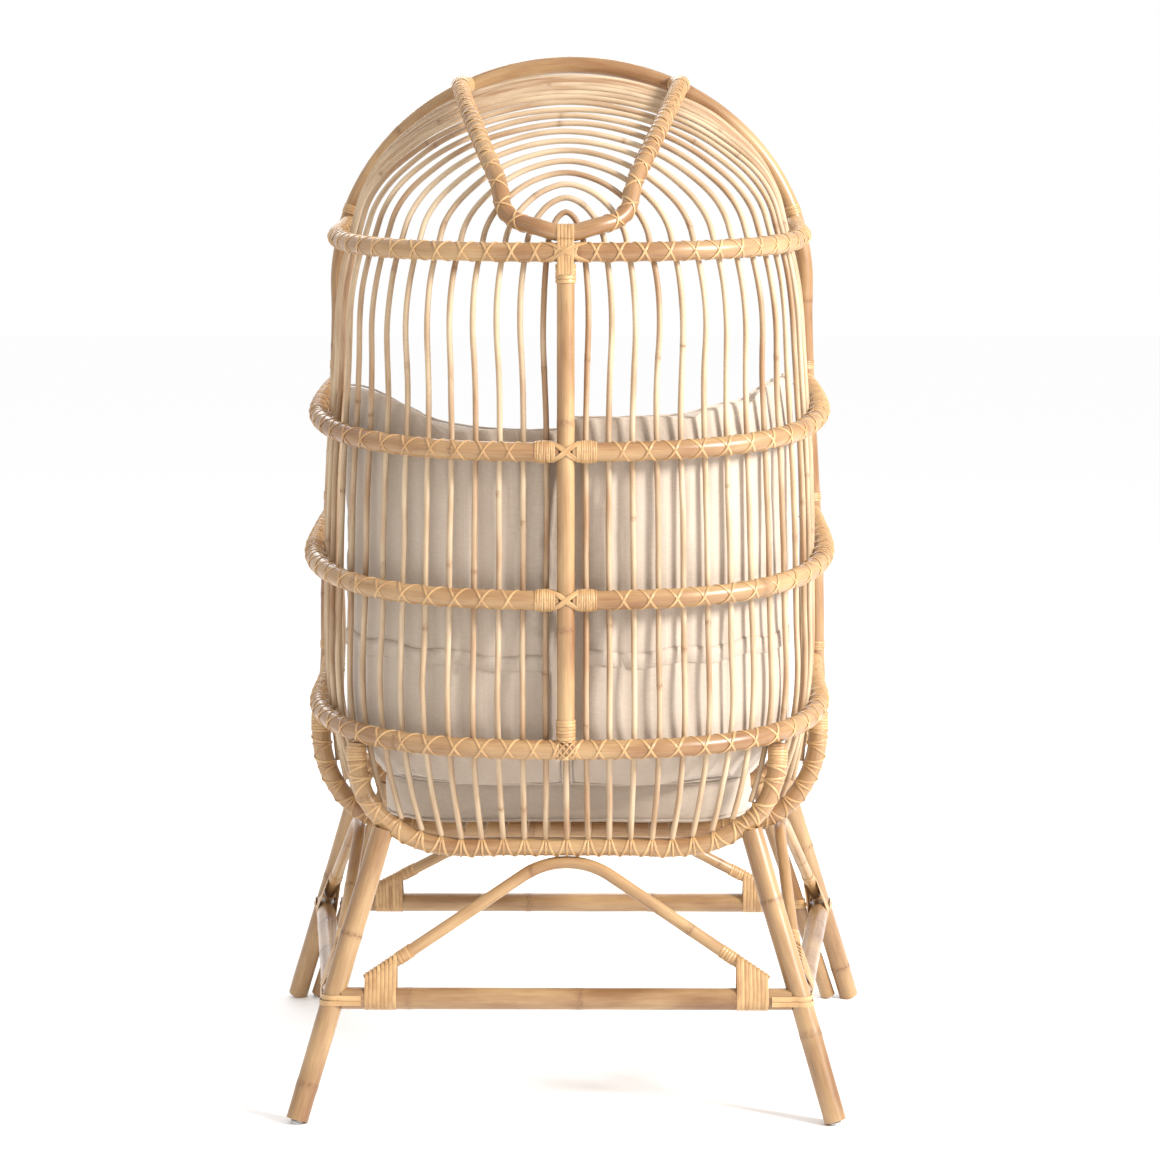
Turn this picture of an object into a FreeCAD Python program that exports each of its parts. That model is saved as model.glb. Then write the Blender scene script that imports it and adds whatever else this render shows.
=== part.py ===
import FreeCAD
import Part
import Sketcher
import math
import os

# Free-standing rattan egg chair with a hooded basket on splayed legs.
# Millimetres.  +Z up, the open front faces -Y, +X is the sitter's left.
# The origin is on the floor under the middle of the chair.
# "Depth" is measured forward from the back of the basket: y = back_reach - depth.

V = FreeCAD.Vector
DOC = FreeCAD.newDocument("egg_chair")
SHEET = DOC.addObject("Spreadsheet::Sheet", "Sizes")

DRIVING_SIZES = {
    # rattan pole diameters
    "hoop_dia": 26.0,
    "ring_dia": 26.0,
    "hood_loop_dia": 23.0,
    "centre_pole_dia": 24.0,
    "spindle_dia": 8.0,
    "back_cradle_dia": 26.0,
    "mid_cradle_dia": 28.0,
    "leg_dia": 31.0,
    "inner_leg_dia": 24.0,
    "stretcher_dia": 30.0,
    "brace_dia": 17.5,
    "slat_dia": 9.0,
    # gap left between poles that are lashed together
    "lash_gap": 0.8,
    # extra room for the spindles inside the rings, where they bend
    "spindle_room": 0.5,
    "hood_bend_room": 1.2,
    "hoop_joint_room": 1.0,
    # front hoop, in a plane that leans back a little
    "hoop_top_height": 1492.0,
    "hoop_bottom_height": 368.0,
    "hoop_crown_height": 1162.0,
    "hoop_crown_half_width": 360.0,
    "hoop_side_half_width": 384.0,
    "hoop_side_height": 600.0,
    "hoop_corner_radius": 150.0,
    "hoop_top_depth": 545.0,
    "hoop_bottom_depth": 617.0,
    # basket rings, counted from the top
    "back_reach": 356.0,
    "ring_shoulder_depth": 400.0,
    "ring_squareness": 2.6,
    "ring_1_half_width": 340.0,
    "ring_2_half_width": 369.0,
    "ring_3_half_width": 377.0,
    "ring_4_half_width": 371.0,
    "ring_1_back_height": 1191.0,
    "ring_2_back_height": 923.0,
    "ring_3_back_height": 722.0,
    "ring_4_back_height": 518.0,
    "ring_1_front_height": 1250.0,
    "ring_2_front_height": 1010.0,
    "ring_3_front_height": 804.0,
    "ring_4_front_height": 569.0,
    # spindles, bent into arches over the hood
    "arch_count": 20,
    "arch_crowding": 1.12,
    "ridge_start_depth": 22.0,
    "ridge_start_height": 1228.0,
    "ridge_end_depth": 530.0,
    "ridge_end_height": 1472.0,
    "ridge_fullness": 1.57,
    "hood_back_fullness": 1.75,
    "hood_front_fullness": 2.0,
    # loop of pole outside the hood
    "hood_loop_half_width": 159.0,
    "hood_loop_fullness": 1.92,
    # seat cradle
    "back_cradle_depth": 90.0,
    "back_cradle_height": 368.0,
    "mid_cradle_depth": 320.0,
    "mid_cradle_height": 351.0,
    # legs and braces
    "back_foot_x": 371.0,
    "front_foot_x": 451.0,
    "inner_foot_x": 417.0,
    "front_foot_depth": 712.0,
    "glide_dia": 18.0,
    "glide_height": 5.0,
    "stretcher_height": 165.0,
    "brace_bend_radius": 110.0,
    # screws through the legs into the stretchers
    "screw_dia": 5.0,
    "screw_head_dia": 9.0,
    "screw_head_height": 3.0,
    "screw_length": 55.0,
    "screw_offset": 6.5,
    # cane lashing
    "band_gap": 0.6,
    "band_wall": 1.4,
    "brace_band_room": 2.4,
    "band_width": 5.0,
    # cushions
    "seat_cushion_width": 556.0,
    "seat_cushion_length": 470.0,
    "seat_cushion_thickness": 80.0,
    "seat_cushion_corner": 120.0,
    "seat_cushion_edge": 16.0,
    "seat_cushion_back_depth": 112.0,
    "seat_height": 392.5,
    "back_cushion_height": 500.0,
    "back_cushion_thickness": 108.0,
    "back_cushion_side": 0.58,
    "back_cushion_chamfer": 38.0,
}


def fill_sheet():
    """Write every driving size into the spreadsheet under its alias."""
    for row, (alias, value) in enumerate(DRIVING_SIZES.items(), start=1):
        SHEET.set("A%d" % row, alias)
        SHEET.set("B%d" % row, str(value))
        SHEET.setAlias("B%d" % row, alias)
    DOC.recompute()


def size(alias):
    """One driving size, read back from the spreadsheet."""
    return float(SHEET.get(alias))


fill_sheet()

BACK = size("back_reach")
GAP = size("lash_gap")
HOOP_R = size("hoop_dia") / 2
RING_R = size("ring_dia") / 2
SPINDLE_R = size("spindle_dia") / 2
LEG_R = size("leg_dia") / 2
STRETCHER_R = size("stretcher_dia") / 2
ARCHES = int(size("arch_count"))
NODES = []


def at(x, depth, z):
    """A point given by its depth behind-to-front instead of by y."""
    return V(x, BACK - depth, z)


def mirrored(points):
    """The same points on the other side of the chair."""
    return [V(-point.x, point.y, point.z) for point in points]


# ---------------------------------------------------------------- bent poles

def circle_headings(points):
    """Heading at each point, from the circle through it and its neighbours."""
    chords = [b - a for a, b in zip(points, points[1:])]
    headings = []
    for before, after in zip(chords, chords[1:]):
        heading = before * (1 / before.Length ** 2) + after * (1 / after.Length ** 2)
        headings.append(heading.normalize())
    first = chords[0].normalize()
    last = chords[-1].normalize()
    start = first * (2 * first.dot(headings[0])) - headings[0]
    end = last * (2 * last.dot(headings[-1])) - headings[-1]
    return [start] + headings + [end]


def arc_edge(start, corner, end):
    """The arc that leaves start towards corner and reaches end from corner."""
    middle = (start + end) * 0.5
    half_chord = (end - start).Length / 2
    rise = (corner - middle).Length
    if rise < 1e-4 * half_chord:
        return Part.LineSegment(start, end).toShape()
    half_turn = math.atan2(rise, half_chord)
    top = middle + (corner - middle) * (math.tan(half_turn / 2) / math.tan(half_turn))
    return Part.Arc(start, top, end).toShape()


def arc_pair(start, start_heading, end, end_heading):
    """Two arcs that join start to end and keep both headings."""
    span = end - start
    both = start_heading + end_heading
    spread = 2 * (1 - start_heading.dot(end_heading))
    along = span.dot(both)
    if spread < 1e-9:
        reach = span.dot(span) / (2 * along)
    else:
        reach = (math.sqrt(along ** 2 + spread * span.dot(span)) - along) / spread
    first_corner = start + start_heading * reach
    last_corner = end - end_heading * reach
    joint = (first_corner + last_corner) * 0.5
    return [arc_edge(start, first_corner, joint), arc_edge(joint, last_corner, end)]


def arc_path(points):
    """A smooth wire of arcs through all the points."""
    headings = circle_headings(points)
    edges = []
    for index in range(len(points) - 1):
        edges += arc_pair(points[index], headings[index], points[index + 1], headings[index + 1])
    return Part.Wire(edges)


def swept_pole(name, wire, dia_expression):
    """A round pole along a wire, its diameter bound to the spreadsheet."""
    path = DOC.addObject("Part::Feature", name + "_path")
    path.Shape = wire
    section = DOC.addObject("Part::Circle", name + "_section")
    section.setExpression("Radius", "(%s) / 2" % dia_expression)
    first = wire.OrderedEdges[0]
    start = first.valueAt(first.FirstParameter)
    heading = first.tangentAt(first.FirstParameter)
    section.Placement = FreeCAD.Placement(start, FreeCAD.Rotation(V(0, 0, 1), heading))
    sweep = DOC.addObject("Part::Sweep", name)
    sweep.Sections = [section]
    sweep.Spine = (path, ["Edge%d" % (number + 1) for number in range(len(wire.Edges))])
    sweep.Solid = True
    sweep.Frenet = False
    return sweep


def node(feature, label):
    """Mark a feature as a sub-part that is written out under its label."""
    feature.Label = label
    NODES.append(feature)
    return feature


def bent_pole(name, points, dia_alias):
    """A sub-part bent from one round pole."""
    return node(swept_pole(name, arc_path(points), "Sizes." + dia_alias), name)


def straight_pole(name, start, end, dia_alias):
    """A straight round pole as a cylinder bound to the spreadsheet."""
    pole = DOC.addObject("Part::Cylinder", name)
    pole.setExpression("Radius", "Sizes.%s / 2" % dia_alias)
    pole.Height = (end - start).Length
    pole.Placement = FreeCAD.Placement(start, FreeCAD.Rotation(V(0, 0, 1), end - start))
    return pole


def bore(name, start, end, dia_expression):
    """A straight round cutting tool."""
    tool = DOC.addObject("Part::Cylinder", name)
    tool.setExpression("Radius", "(%s) / 2" % dia_expression)
    tool.Height = (end - start).Length
    tool.Placement = FreeCAD.Placement(start, FreeCAD.Rotation(V(0, 0, 1), end - start))
    return tool


def group(name, members):
    """Separate solids that share one node."""
    compound = DOC.addObject("Part::Compound", name)
    compound.Links = members
    return compound


def trimmed(name, pole, tools):
    """A sub-part made by cutting tools out of a pole."""
    cut = DOC.addObject("Part::Cut", name)
    cut.Base = pole
    cut.Tool = tools[0] if len(tools) == 1 else group(name + "_tools", tools)
    return node(cut, name)


# ---------------------------------------------------------------- reference curves

def hoop_depth(z):
    """Depth of the hoop's plane at a height."""
    rise = (z - size("hoop_bottom_height")) / (size("hoop_top_height") - size("hoop_bottom_height"))
    return size("hoop_bottom_depth") + (size("hoop_top_depth") - size("hoop_bottom_depth")) * rise


def hoop_half_width(z):
    """Half width of the hoop's centreline above its bottom corners."""
    crown = size("hoop_crown_height")
    wide = size("hoop_side_half_width")
    narrow = size("hoop_crown_half_width")
    corner = size("hoop_corner_radius")
    corner_top = size("hoop_bottom_height") + corner
    if z > crown:
        rise = (z - crown) / (size("hoop_top_height") - crown)
        return narrow * math.sqrt(max(0.0, 1 - rise ** 2))
    if z < corner_top:
        return wide - corner + math.sqrt(max(0.0, corner ** 2 - (corner_top - z) ** 2))
    swing = min(max((z - size("hoop_side_height")) / (crown - size("hoop_side_height")), 0.0), 1.0)
    return (wide + narrow) / 2 + (wide - narrow) / 2 * math.cos(math.pi * swing)


def hoop_point(z):
    """The hoop's centreline on the left side at a height."""
    return at(hoop_half_width(z), hoop_depth(z), z)


def point_along(points, fraction):
    """The point at a fraction of the length of a polyline, and its heading."""
    lengths = [(b - a).Length for a, b in zip(points, points[1:])]
    goal = min(max(fraction, 0.0), 1.0) * sum(lengths)
    for start, end, length in zip(points, points[1:], lengths):
        if goal <= length:
            break
        goal -= length
    heading = (end - start).normalize()
    return start + heading * min(goal, length), heading


class RingPlan:
    """Half of a basket ring: a squarish half oval that tilts up to the front."""

    def __init__(self, number):
        self.half_width = size("ring_%d_half_width" % number)
        self.back_height = size("ring_%d_back_height" % number)
        self.front_height = size("ring_%d_front_height" % number)
        self.front_depth = hoop_depth(self.front_height)
        self.curve = self.left_half()

    def height(self, depth):
        return self.back_height + (self.front_height - self.back_height) * depth / self.front_depth

    def left_half(self):
        """Dense points from the back centre round to the hoop."""
        shoulder = size("ring_shoulder_depth")
        power = 2 / size("ring_squareness")
        front_x = hoop_half_width(self.front_height) - 3.0
        points = []
        for step in range(121):
            turn = math.pi / 2 * step / 120
            x = self.half_width * math.sin(turn) ** power
            depth = shoulder * (1 - math.cos(turn) ** power)
            points.append(at(x, depth, self.height(depth)))
        for step in range(1, 21):
            depth = shoulder + (self.front_depth - shoulder) * step / 20
            x = self.half_width + (front_x - self.half_width) * (step / 20) ** 2
            points.append(at(x, depth, self.height(depth)))
        return points

    def centre(self, fraction):
        """The ring's centreline at a fraction of its left half."""
        return point_along(self.curve, fraction)[0]

    def inside(self, fraction, inset):
        """A point that far inside the ring's centreline."""
        point, heading = point_along(self.curve, fraction)
        inward = V(0, 0, 1).cross(heading)
        if inward.dot(V(0, 0, 0) - V(point.x, point.y, 0)) < 0:
            inward = inward * -1
        return point + inward.normalize() * inset

    def length(self):
        return sum((b - a).Length for a, b in zip(self.curve, self.curve[1:]))


RINGS = [RingPlan(number) for number in (1, 2, 3, 4)]
SPINDLE_INSET = RING_R + GAP + SPINDLE_R + size("spindle_room")


def arch_fraction(number):
    """Place of a spindle between the back centre and the hoop, closer together at the back."""
    return (number / (ARCHES + 1)) ** size("arch_crowding")


def ridge_curve():
    """The crown of the hood from above ring 1 to the hoop."""
    power = 2 / size("ridge_fullness")
    run = size("ridge_end_depth") - size("ridge_start_depth")
    rise = size("ridge_end_height") - size("ridge_start_height")
    points = []
    for step in range(101):
        turn = math.pi / 2 * step / 100
        depth = size("ridge_start_depth") + run * (1 - math.cos(turn) ** power)
        z = size("ridge_start_height") + rise * math.sin(turn) ** power
        points.append(at(0, depth, z))
    return points


RIDGE = ridge_curve()


def hood_power(fraction):
    """Exponent of a hood arch's outline, which is leaner at the back than beside the hoop."""
    back = size("hood_back_fullness")
    return 2 / (back + (size("hood_front_fullness") - back) * fraction)


def hood_point(fraction, turn):
    """The hood's surface: turn is 0 at ring 1 and 90 degrees at the ridge."""
    foot = RINGS[0].inside(fraction, SPINDLE_INSET + size("hood_bend_room"))
    crown = point_along(RIDGE, fraction)[0]
    power = hood_power(fraction)
    across = max(math.cos(turn), 0.0) ** power
    rise = max(math.sin(turn), 0.0) ** power
    return V(foot.x * across, foot.y + (crown.y - foot.y) * rise, foot.z + (crown.z - foot.z) * rise)


def back_cradle_points():
    """Left half of the back cradle pole, from the bottom centre to under ring 4."""
    bottom = size("back_cradle_height")
    outline = [(0, 0), (80, 0), (164, 0), (206, 8), (235, 22), (261, 41), (280, 66), (290, 95), (294, 143)]
    lean = 14.0
    top = outline[-1][1]
    return [at(x, size("back_cradle_depth") + lean * rise / top, bottom + rise) for x, rise in outline]


def mid_cradle_points():
    """Left half of the middle cradle pole, from the bottom centre to under ring 4."""
    bottom = size("mid_cradle_height")
    outline = [(0, 0), (120, 0), (222, 1), (268, 8), (304, 24), (332, 47), (353, 80), (364, 114),
               (367, 150), (366, 177)]
    return [at(x, size("mid_cradle_depth"), bottom + rise) for x, rise in outline]


BACK_CRADLE = back_cradle_points()
MID_CRADLE = mid_cradle_points()


def along(points, distance):
    """Point and heading at a distance along a smooth pole through the points."""
    edges = arc_path(points).OrderedEdges
    for edge in edges:
        if distance <= edge.Length or edge is edges[-1]:
            place = edge.getParameterByLength(min(distance, edge.Length))
            return edge.valueAt(place), edge.tangentAt(place)
        distance -= edge.Length


def landing(point, heading, pole_r, origin):
    """Where a spindle that comes down from origin stops beside a pole."""
    approach = origin - point
    side = approach - heading * approach.dot(heading)
    slant = abs(approach.normalize().dot(heading))
    return point + side.normalize() * (pole_r + GAP + 0.4 + SPINDLE_R * slant)


def spindle_end(number, origin):
    """The bottom end of a spindle: on the back cradle, the middle cradle or the hoop."""
    if number <= 10:
        distance = 29.5 * number + 2.2 * max(0, number - 6) ** 2
        point, heading = along(BACK_CRADLE, distance)
        return landing(point, heading, size("back_cradle_dia") / 2, origin)
    if number <= 16:
        distance = arc_path(MID_CRADLE).Length - 50 - 33 * (16 - number)
        point, heading = along(MID_CRADLE, distance)
        return landing(point, heading, size("mid_cradle_dia") / 2, origin)
    z = 404 + 27 * (number - 17)
    heading = (hoop_point(z + 1) - hoop_point(z - 1)).normalize()
    return landing(hoop_point(z), heading, HOOP_R, origin)


# ---------------------------------------------------------------- basket

def hoop_stations():
    """Left half of the hoop, from the butt joint at the bottom up to the crown."""
    bottom = size("hoop_bottom_height")
    corner = size("hoop_corner_radius")
    flat = size("hoop_side_half_width") - corner
    points = [at(0.4, hoop_depth(bottom), bottom)]
    points += [at(flat * share, hoop_depth(bottom), bottom) for share in (0.4, 0.8)]
    for degrees in (10, 35, 60, 85):
        turn = math.radians(degrees)
        z = bottom + corner * (1 - math.cos(turn))
        points.append(at(flat + corner * math.sin(turn), hoop_depth(z), z))
    for z in (600, 720, 850, 980, 1100):
        points.append(hoop_point(z))
    crown = size("hoop_crown_height")
    for degrees in range(6, 90, 14):
        z = crown + (size("hoop_top_height") - crown) * math.sin(math.radians(degrees))
        points.append(hoop_point(z))
    return points


def make_hoop():
    left = hoop_stations()
    top = at(0, size("hoop_top_depth"), size("hoop_top_height"))
    points = left + [top] + list(reversed(mirrored(left)))
    bent_pole("front_hoop", points, "hoop_dia")
    return swept_pole("hoop_clearance", arc_path(points), "Sizes.hoop_dia + 2 * Sizes.lash_gap")


def ring_half(ring, start):
    """Stations of a ring's left half; the front end butts against the back of the hoop."""
    stop = 1 - (HOOP_R + GAP + size("hoop_joint_room")) / ring.length()
    shares = [0.0, 0.1, 0.22, 0.34, 0.42, 0.5, 0.6, 0.72, 0.86, 1.0]
    return [ring.centre(start + (stop - start) * share) for share in shares]


def make_rings():
    for number in (1, 4):
        left = ring_half(RINGS[number - 1], 0.0)
        bent_pole("ring_%d" % number, list(reversed(left)) + mirrored(left[1:]), "ring_dia")
    for number in (2, 3):
        ring = RINGS[number - 1]
        left = ring_half(ring, (size("centre_pole_dia") / 2 + GAP) / ring.length())
        bent_pole("ring_%d_left" % number, left, "ring_dia")
        bent_pole("ring_%d_right" % number, mirrored(left), "ring_dia")


def make_centre_poles():
    clear = RING_R + GAP
    top = at(0, 0, size("ring_1_back_height") - clear)
    bottom = at(0, 0, size("ring_4_back_height") + clear)
    node(straight_pole("centre_back_pole", bottom, top, "centre_pole_dia"), "centre_back_pole")
    rail = [at(0, SPINDLE_INSET + 0.8, ring.back_height) for ring in RINGS]
    rail[0].z += RING_R
    rail.insert(3, at(0, SPINDLE_INSET + 0.8, size("ring_4_back_height") + 40))
    foot = V(0, BACK - size("back_cradle_depth"), size("back_cradle_height"))
    end = landing(foot, V(1, 0, 0), size("back_cradle_dia") / 2, rail[-1])
    bent_pole("centre_spindle", rail + [end], "spindle_dia")


def arch_half(number):
    """Left half of a spindle arch from its bottom end to the ridge."""
    fraction = arch_fraction(number)
    legs = [ring.inside(fraction, SPINDLE_INSET) for ring in reversed(RINGS[1:])]
    hood = [hood_point(fraction, math.radians(degrees)) for degrees in (0, 22, 45, 68)]
    return [spindle_end(number, legs[0])] + legs + hood


def make_arches():
    for number in range(1, ARCHES + 1):
        left = arch_half(number)
        ridge = hood_point(arch_fraction(number), math.pi / 2)
        points = left + [ridge] + list(reversed(mirrored(left)))
        bent_pole("arch_spindle_%02d" % number, points, "spindle_dia")


def hood_loop_half():
    """Left half of the hood loop, from the top of ring 1 up to the back of the hoop."""
    loop_r = size("hood_loop_dia") / 2
    fullness = size("hood_loop_fullness")
    bottom = size("ring_1_back_height") + RING_R + GAP + loop_r
    points = [at(0, 0, bottom), at(42, 2, bottom + 9.5)]
    for fraction in (0.1, 0.2, 0.32, 0.46, 0.62, 0.8, 0.95):
        x = size("hood_loop_half_width") * (1 - (1 - fraction) ** fullness) ** (1 / fullness)
        foot = RINGS[0].inside(fraction, SPINDLE_INSET)
        turn = math.acos((x / foot.x) ** (1 / hood_power(fraction)))
        point = hood_point(fraction, turn)
        across = hood_point(fraction, turn + 0.02) - hood_point(fraction, turn - 0.02)
        forward = hood_point(fraction + 0.01, turn) - hood_point(fraction - 0.01, turn)
        outward = across.cross(forward).normalize()
        if outward.z < 0:
            outward = outward * -1
        points.append(point + outward * (SPINDLE_R + GAP + size("hood_bend_room") + 1.5 + loop_r))
    top_x = size("hood_loop_half_width")
    crown = size("hoop_crown_height")
    lean = math.sqrt(1 - (top_x / size("hoop_crown_half_width")) ** 2)
    z = crown + (size("hoop_top_height") - crown) * lean
    points.append(at(top_x, hoop_depth(z) - 8.0, z + 3.0))
    return points


def make_hood_loop():
    """The hood loop, whose ends are hollowed to fit the back of the hoop."""
    left = hood_loop_half()
    wire = arc_path(list(reversed(left)) + mirrored(left[1:]))
    pole = swept_pole("hood_loop_pole", wire, "Sizes.hood_loop_dia")
    reach = 40.0
    z = left[-1].z
    low, high = hoop_point(z - reach / 2), hoop_point(z + reach / 2)
    middle = hoop_point(z)
    heading = (high - low).normalize() * reach * 2
    copes = []
    for side, word in ((1, "left"), (-1, "right")):
        start, end = side_of(middle - heading, side), side_of(middle + heading, side)
        copes.append(bore("hood_loop_cope_" + word, start, end, "Sizes.hoop_dia + 4 * Sizes.lash_gap"))
    trimmed("hood_loop", pole, copes)


def make_cradles():
    back = list(reversed(BACK_CRADLE)) + mirrored(BACK_CRADLE[1:])
    middle = list(reversed(MID_CRADLE)) + mirrored(MID_CRADLE[1:])
    bent_pole("back_cradle_pole", back, "back_cradle_dia")
    bent_pole("mid_cradle_pole", middle, "mid_cradle_dia")
    return swept_pole("cradle_clearance", arc_path(back), "Sizes.back_cradle_dia + 2 * Sizes.lash_gap")


def make_slats():
    """Round slats from the back cradle pole to the bottom of the hoop, under the seat cushion."""
    slat_r = size("slat_dia") / 2
    z = size("back_cradle_height") + size("back_cradle_dia") / 2 + GAP + slat_r
    slats = []
    for number in range(-5, 6):
        x = along(BACK_CRADLE, 29.5 * abs(number))[0].x * (1 if number > 0 else -1)
        start = at(x, size("back_cradle_depth") + 6, z)
        end = at(x, size("hoop_bottom_depth"), z)
        slats.append(straight_pole("slat_%d" % (number + 6), start, end, "slat_dia"))
    node(group("seat_slats", slats), "seat_slats")


# ---------------------------------------------------------------- legs, stretchers and braces

def leg_lines():
    """Foot and top point of each leg's axis on the left side; tops stop short of the pole above."""
    back_top, back_heading = along(BACK_CRADLE, 262.0)
    front_top = hoop_point(400.0)
    inner_top = hoop_point(379.0)
    lines = {
        "back_leg": (at(size("back_foot_x"), 0, 0), back_top, "leg_dia"),
        "front_leg": (at(size("front_foot_x"), size("front_foot_depth"), 0), front_top, "leg_dia"),
        "inner_front_leg": (at(size("inner_foot_x"), size("front_foot_depth"), 0), inner_top, "inner_leg_dia"),
    }
    short = 5.0
    for name, (foot, top, dia) in lines.items():
        rise = top - foot
        lines[name] = (foot, top - rise.normalize() * short, dia)
    return lines


LEGS = leg_lines()


def leg_axis(name, z):
    """Point of a left leg's axis at a height."""
    foot, top, _ = LEGS[name]
    return foot + (top - foot) * ((z - foot.z) / (top.z - foot.z))


def side_of(point, side):
    """A left-side point moved to the side given by +1 (left) or -1 (right)."""
    return V(point.x * side, point.y, point.z)


def screw(name, seat, heading):
    """Round-headed screw whose head rests at seat and whose shank points along heading."""
    head_end = seat - heading * size("screw_head_height")
    head = straight_pole(name + "_head", head_end, seat, "screw_head_dia")
    shank = straight_pole(name + "_shank", seat, seat + heading * size("screw_length"), "screw_dia")
    both = DOC.addObject("Part::Fuse", name)
    both.Base = head
    both.Tool = shank
    return both


def screw_bores(name, seat, heading):
    """Stepped hole that clears a screw: a wide counterbore behind a shank hole."""
    deep = size("screw_length") + 2
    wide = bore(name + "_counterbore", seat - heading * 30, seat, "Sizes.screw_head_dia + 1.2")
    narrow = bore(name + "_hole", seat - heading * 1, seat + heading * deep, "Sizes.screw_dia + 1")
    both = DOC.addObject("Part::Fuse", name)
    both.Base = wide
    both.Tool = narrow
    return both


def joint_screws():
    """Where each stretcher is screwed on: leg, side, other leg, side, and height offset."""
    return {
        "back_stretcher": ("back_leg", 1, "back_leg", -1, 1),
        "front_stretcher": ("inner_front_leg", 1, "inner_front_leg", -1, 1),
        "left_stretcher": ("back_leg", 1, "front_leg", 1, -1),
        "right_stretcher": ("back_leg", -1, "front_leg", -1, -1),
    }


def make_base(hoop_clearance, cradle_clearance):
    height = size("stretcher_height")
    ends = {}
    screws = []
    leg_tools = {(name, side): [] for name in LEGS for side in (1, -1)}
    stretcher_tools = {name: [] for name in joint_screws()}
    for name, (leg_a, side_a, leg_b, side_b, lift) in joint_screws().items():
        start = side_of(leg_axis(leg_a, height), side_a)
        end = side_of(leg_axis(leg_b, height), side_b)
        ends[name] = (start, end)
        offset = V(0, 0, lift * size("screw_offset"))
        for tag, leg, side, point, far in (("a", leg_a, side_a, start, end), ("b", leg_b, side_b, end, start)):
            heading = (far - point).normalize()
            seat = side_of(leg_axis(leg, height + offset.z), side) - heading * 8.0
            screws.append(screw("%s_screw_%s" % (name, tag), seat, heading))
            tool = screw_bores("%s_bore_%s" % (name, tag), seat, heading)
            leg_tools[(leg, side)].append(tool)
            stretcher_tools[name].append(tool)
    node(group("frame_screws", screws), "frame_screws")

    floor = DOC.addObject("Part::Box", "foot_trim")
    floor.Length = 1200
    floor.Width = 1200
    floor.Height = 100
    floor.Placement.Base = V(-600, -600, size("glide_height") - 100)
    glides = []
    for name, (foot, top, dia) in LEGS.items():
        clearance = cradle_clearance if name == "back_leg" else hoop_clearance
        for side, word in ((1, "left"), (-1, "right")):
            below = foot - (top - foot).normalize() * 20
            label = "%s_%s" % (name, word)
            pole = straight_pole(label + "_pole", side_of(below, side), side_of(top, side), dia)
            trimmed(label, pole, [floor, clearance] + leg_tools[(name, side)])
            place = side_of(leg_axis(name, size("glide_height")), side)
            start = V(place.x, place.y, 0)
            glides.append(straight_pole(label + "_glide", start, place, "glide_dia"))
    node(group("foot_glides", glides), "foot_glides")

    for name, (start, end) in ends.items():
        leg_a, side_a, leg_b, side_b, _ = joint_screws()[name]
        pole = straight_pole(name + "_pole", start, end, "stretcher_dia")
        tools = list(stretcher_tools[name])
        for tag, leg, side in (("a", leg_a, side_a), ("b", leg_b, side_b)):
            low = side_of(leg_axis(leg, height - 60), side)
            high = side_of(leg_axis(leg, height + 60), side)
            dia = LEGS[leg][2]
            tools.append(bore("%s_cope_%s" % (name, tag), low, high, "Sizes.%s + 2 * Sizes.lash_gap" % dia))
        if name in ("left_stretcher", "right_stretcher"):
            low, high = ends["back_stretcher"]
            tools.append(bore(name + "_clearance", low, high, "Sizes.stretcher_dia + 2 * Sizes.lash_gap"))
        cope(name, pole, tools)
    return ends


def cope(name, pole, tools):
    """Cut tools that touch each other one after another."""
    for index, tool in enumerate(tools):
        cut = DOC.addObject("Part::Cut", name if index == len(tools) - 1 else "%s_step_%d" % (name, index))
        cut.Base = pole
        cut.Tool = tool
        pole = cut
    node(pole, name)


def brace_line(stretcher, apex):
    """A bent brace: from the top of a stretcher up to the apex and down again."""
    start, end = stretcher
    inset = 46.0
    along_stretcher = (end - start).normalize()
    middle = (start + end) * 0.5
    lean = apex - middle
    up = (lean - along_stretcher * lean.dot(along_stretcher)).normalize()
    brace_r = size("brace_dia") / 2
    lift = STRETCHER_R + GAP + brace_r
    foot_a = start + along_stretcher * inset + up * lift
    foot_b = end - along_stretcher * inset + up * lift
    apex = middle + up * lean.dot(up)
    radius = size("brace_bend_radius")
    half = (foot_b - foot_a).Length / 2
    rise = (apex - foot_a).dot(up)
    slope = math.atan2(rise, half)
    for _ in range(20):
        slope = math.atan2(rise + radius * (1 / math.cos(slope) - 1), half)
    tangent = radius * math.tan(slope)
    corner = apex + up * (radius * (1 / math.cos(slope) - 1))
    bend_start = corner + (foot_a - corner).normalize() * tangent
    bend_end = corner + (foot_b - corner).normalize() * tangent
    return foot_a, bend_start, apex, bend_end, foot_b


def brace_apexes():
    """Top of each brace's centreline, just under the pole that it props."""
    brace_r = size("brace_dia") / 2
    under_cradle = size("back_cradle_height") - size("back_cradle_dia") / 2 - GAP - brace_r
    under_hoop = size("hoop_bottom_height") - HOOP_R - GAP - brace_r
    corner, _ = along(MID_CRADLE, 310.0)
    side = corner + V(0.35, 0, -0.94).normalize() * (size("mid_cradle_dia") / 2 + GAP + 0.4 + brace_r)
    side.y = (leg_axis("back_leg", size("stretcher_height")).y
              + leg_axis("front_leg", size("stretcher_height")).y) / 2
    return {
        "back_stretcher": at(0, size("back_cradle_depth"), under_cradle),
        "front_stretcher": at(0, size("hoop_bottom_depth"), under_hoop),
        "left_stretcher": side,
        "right_stretcher": side_of(side, -1),
    }


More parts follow.
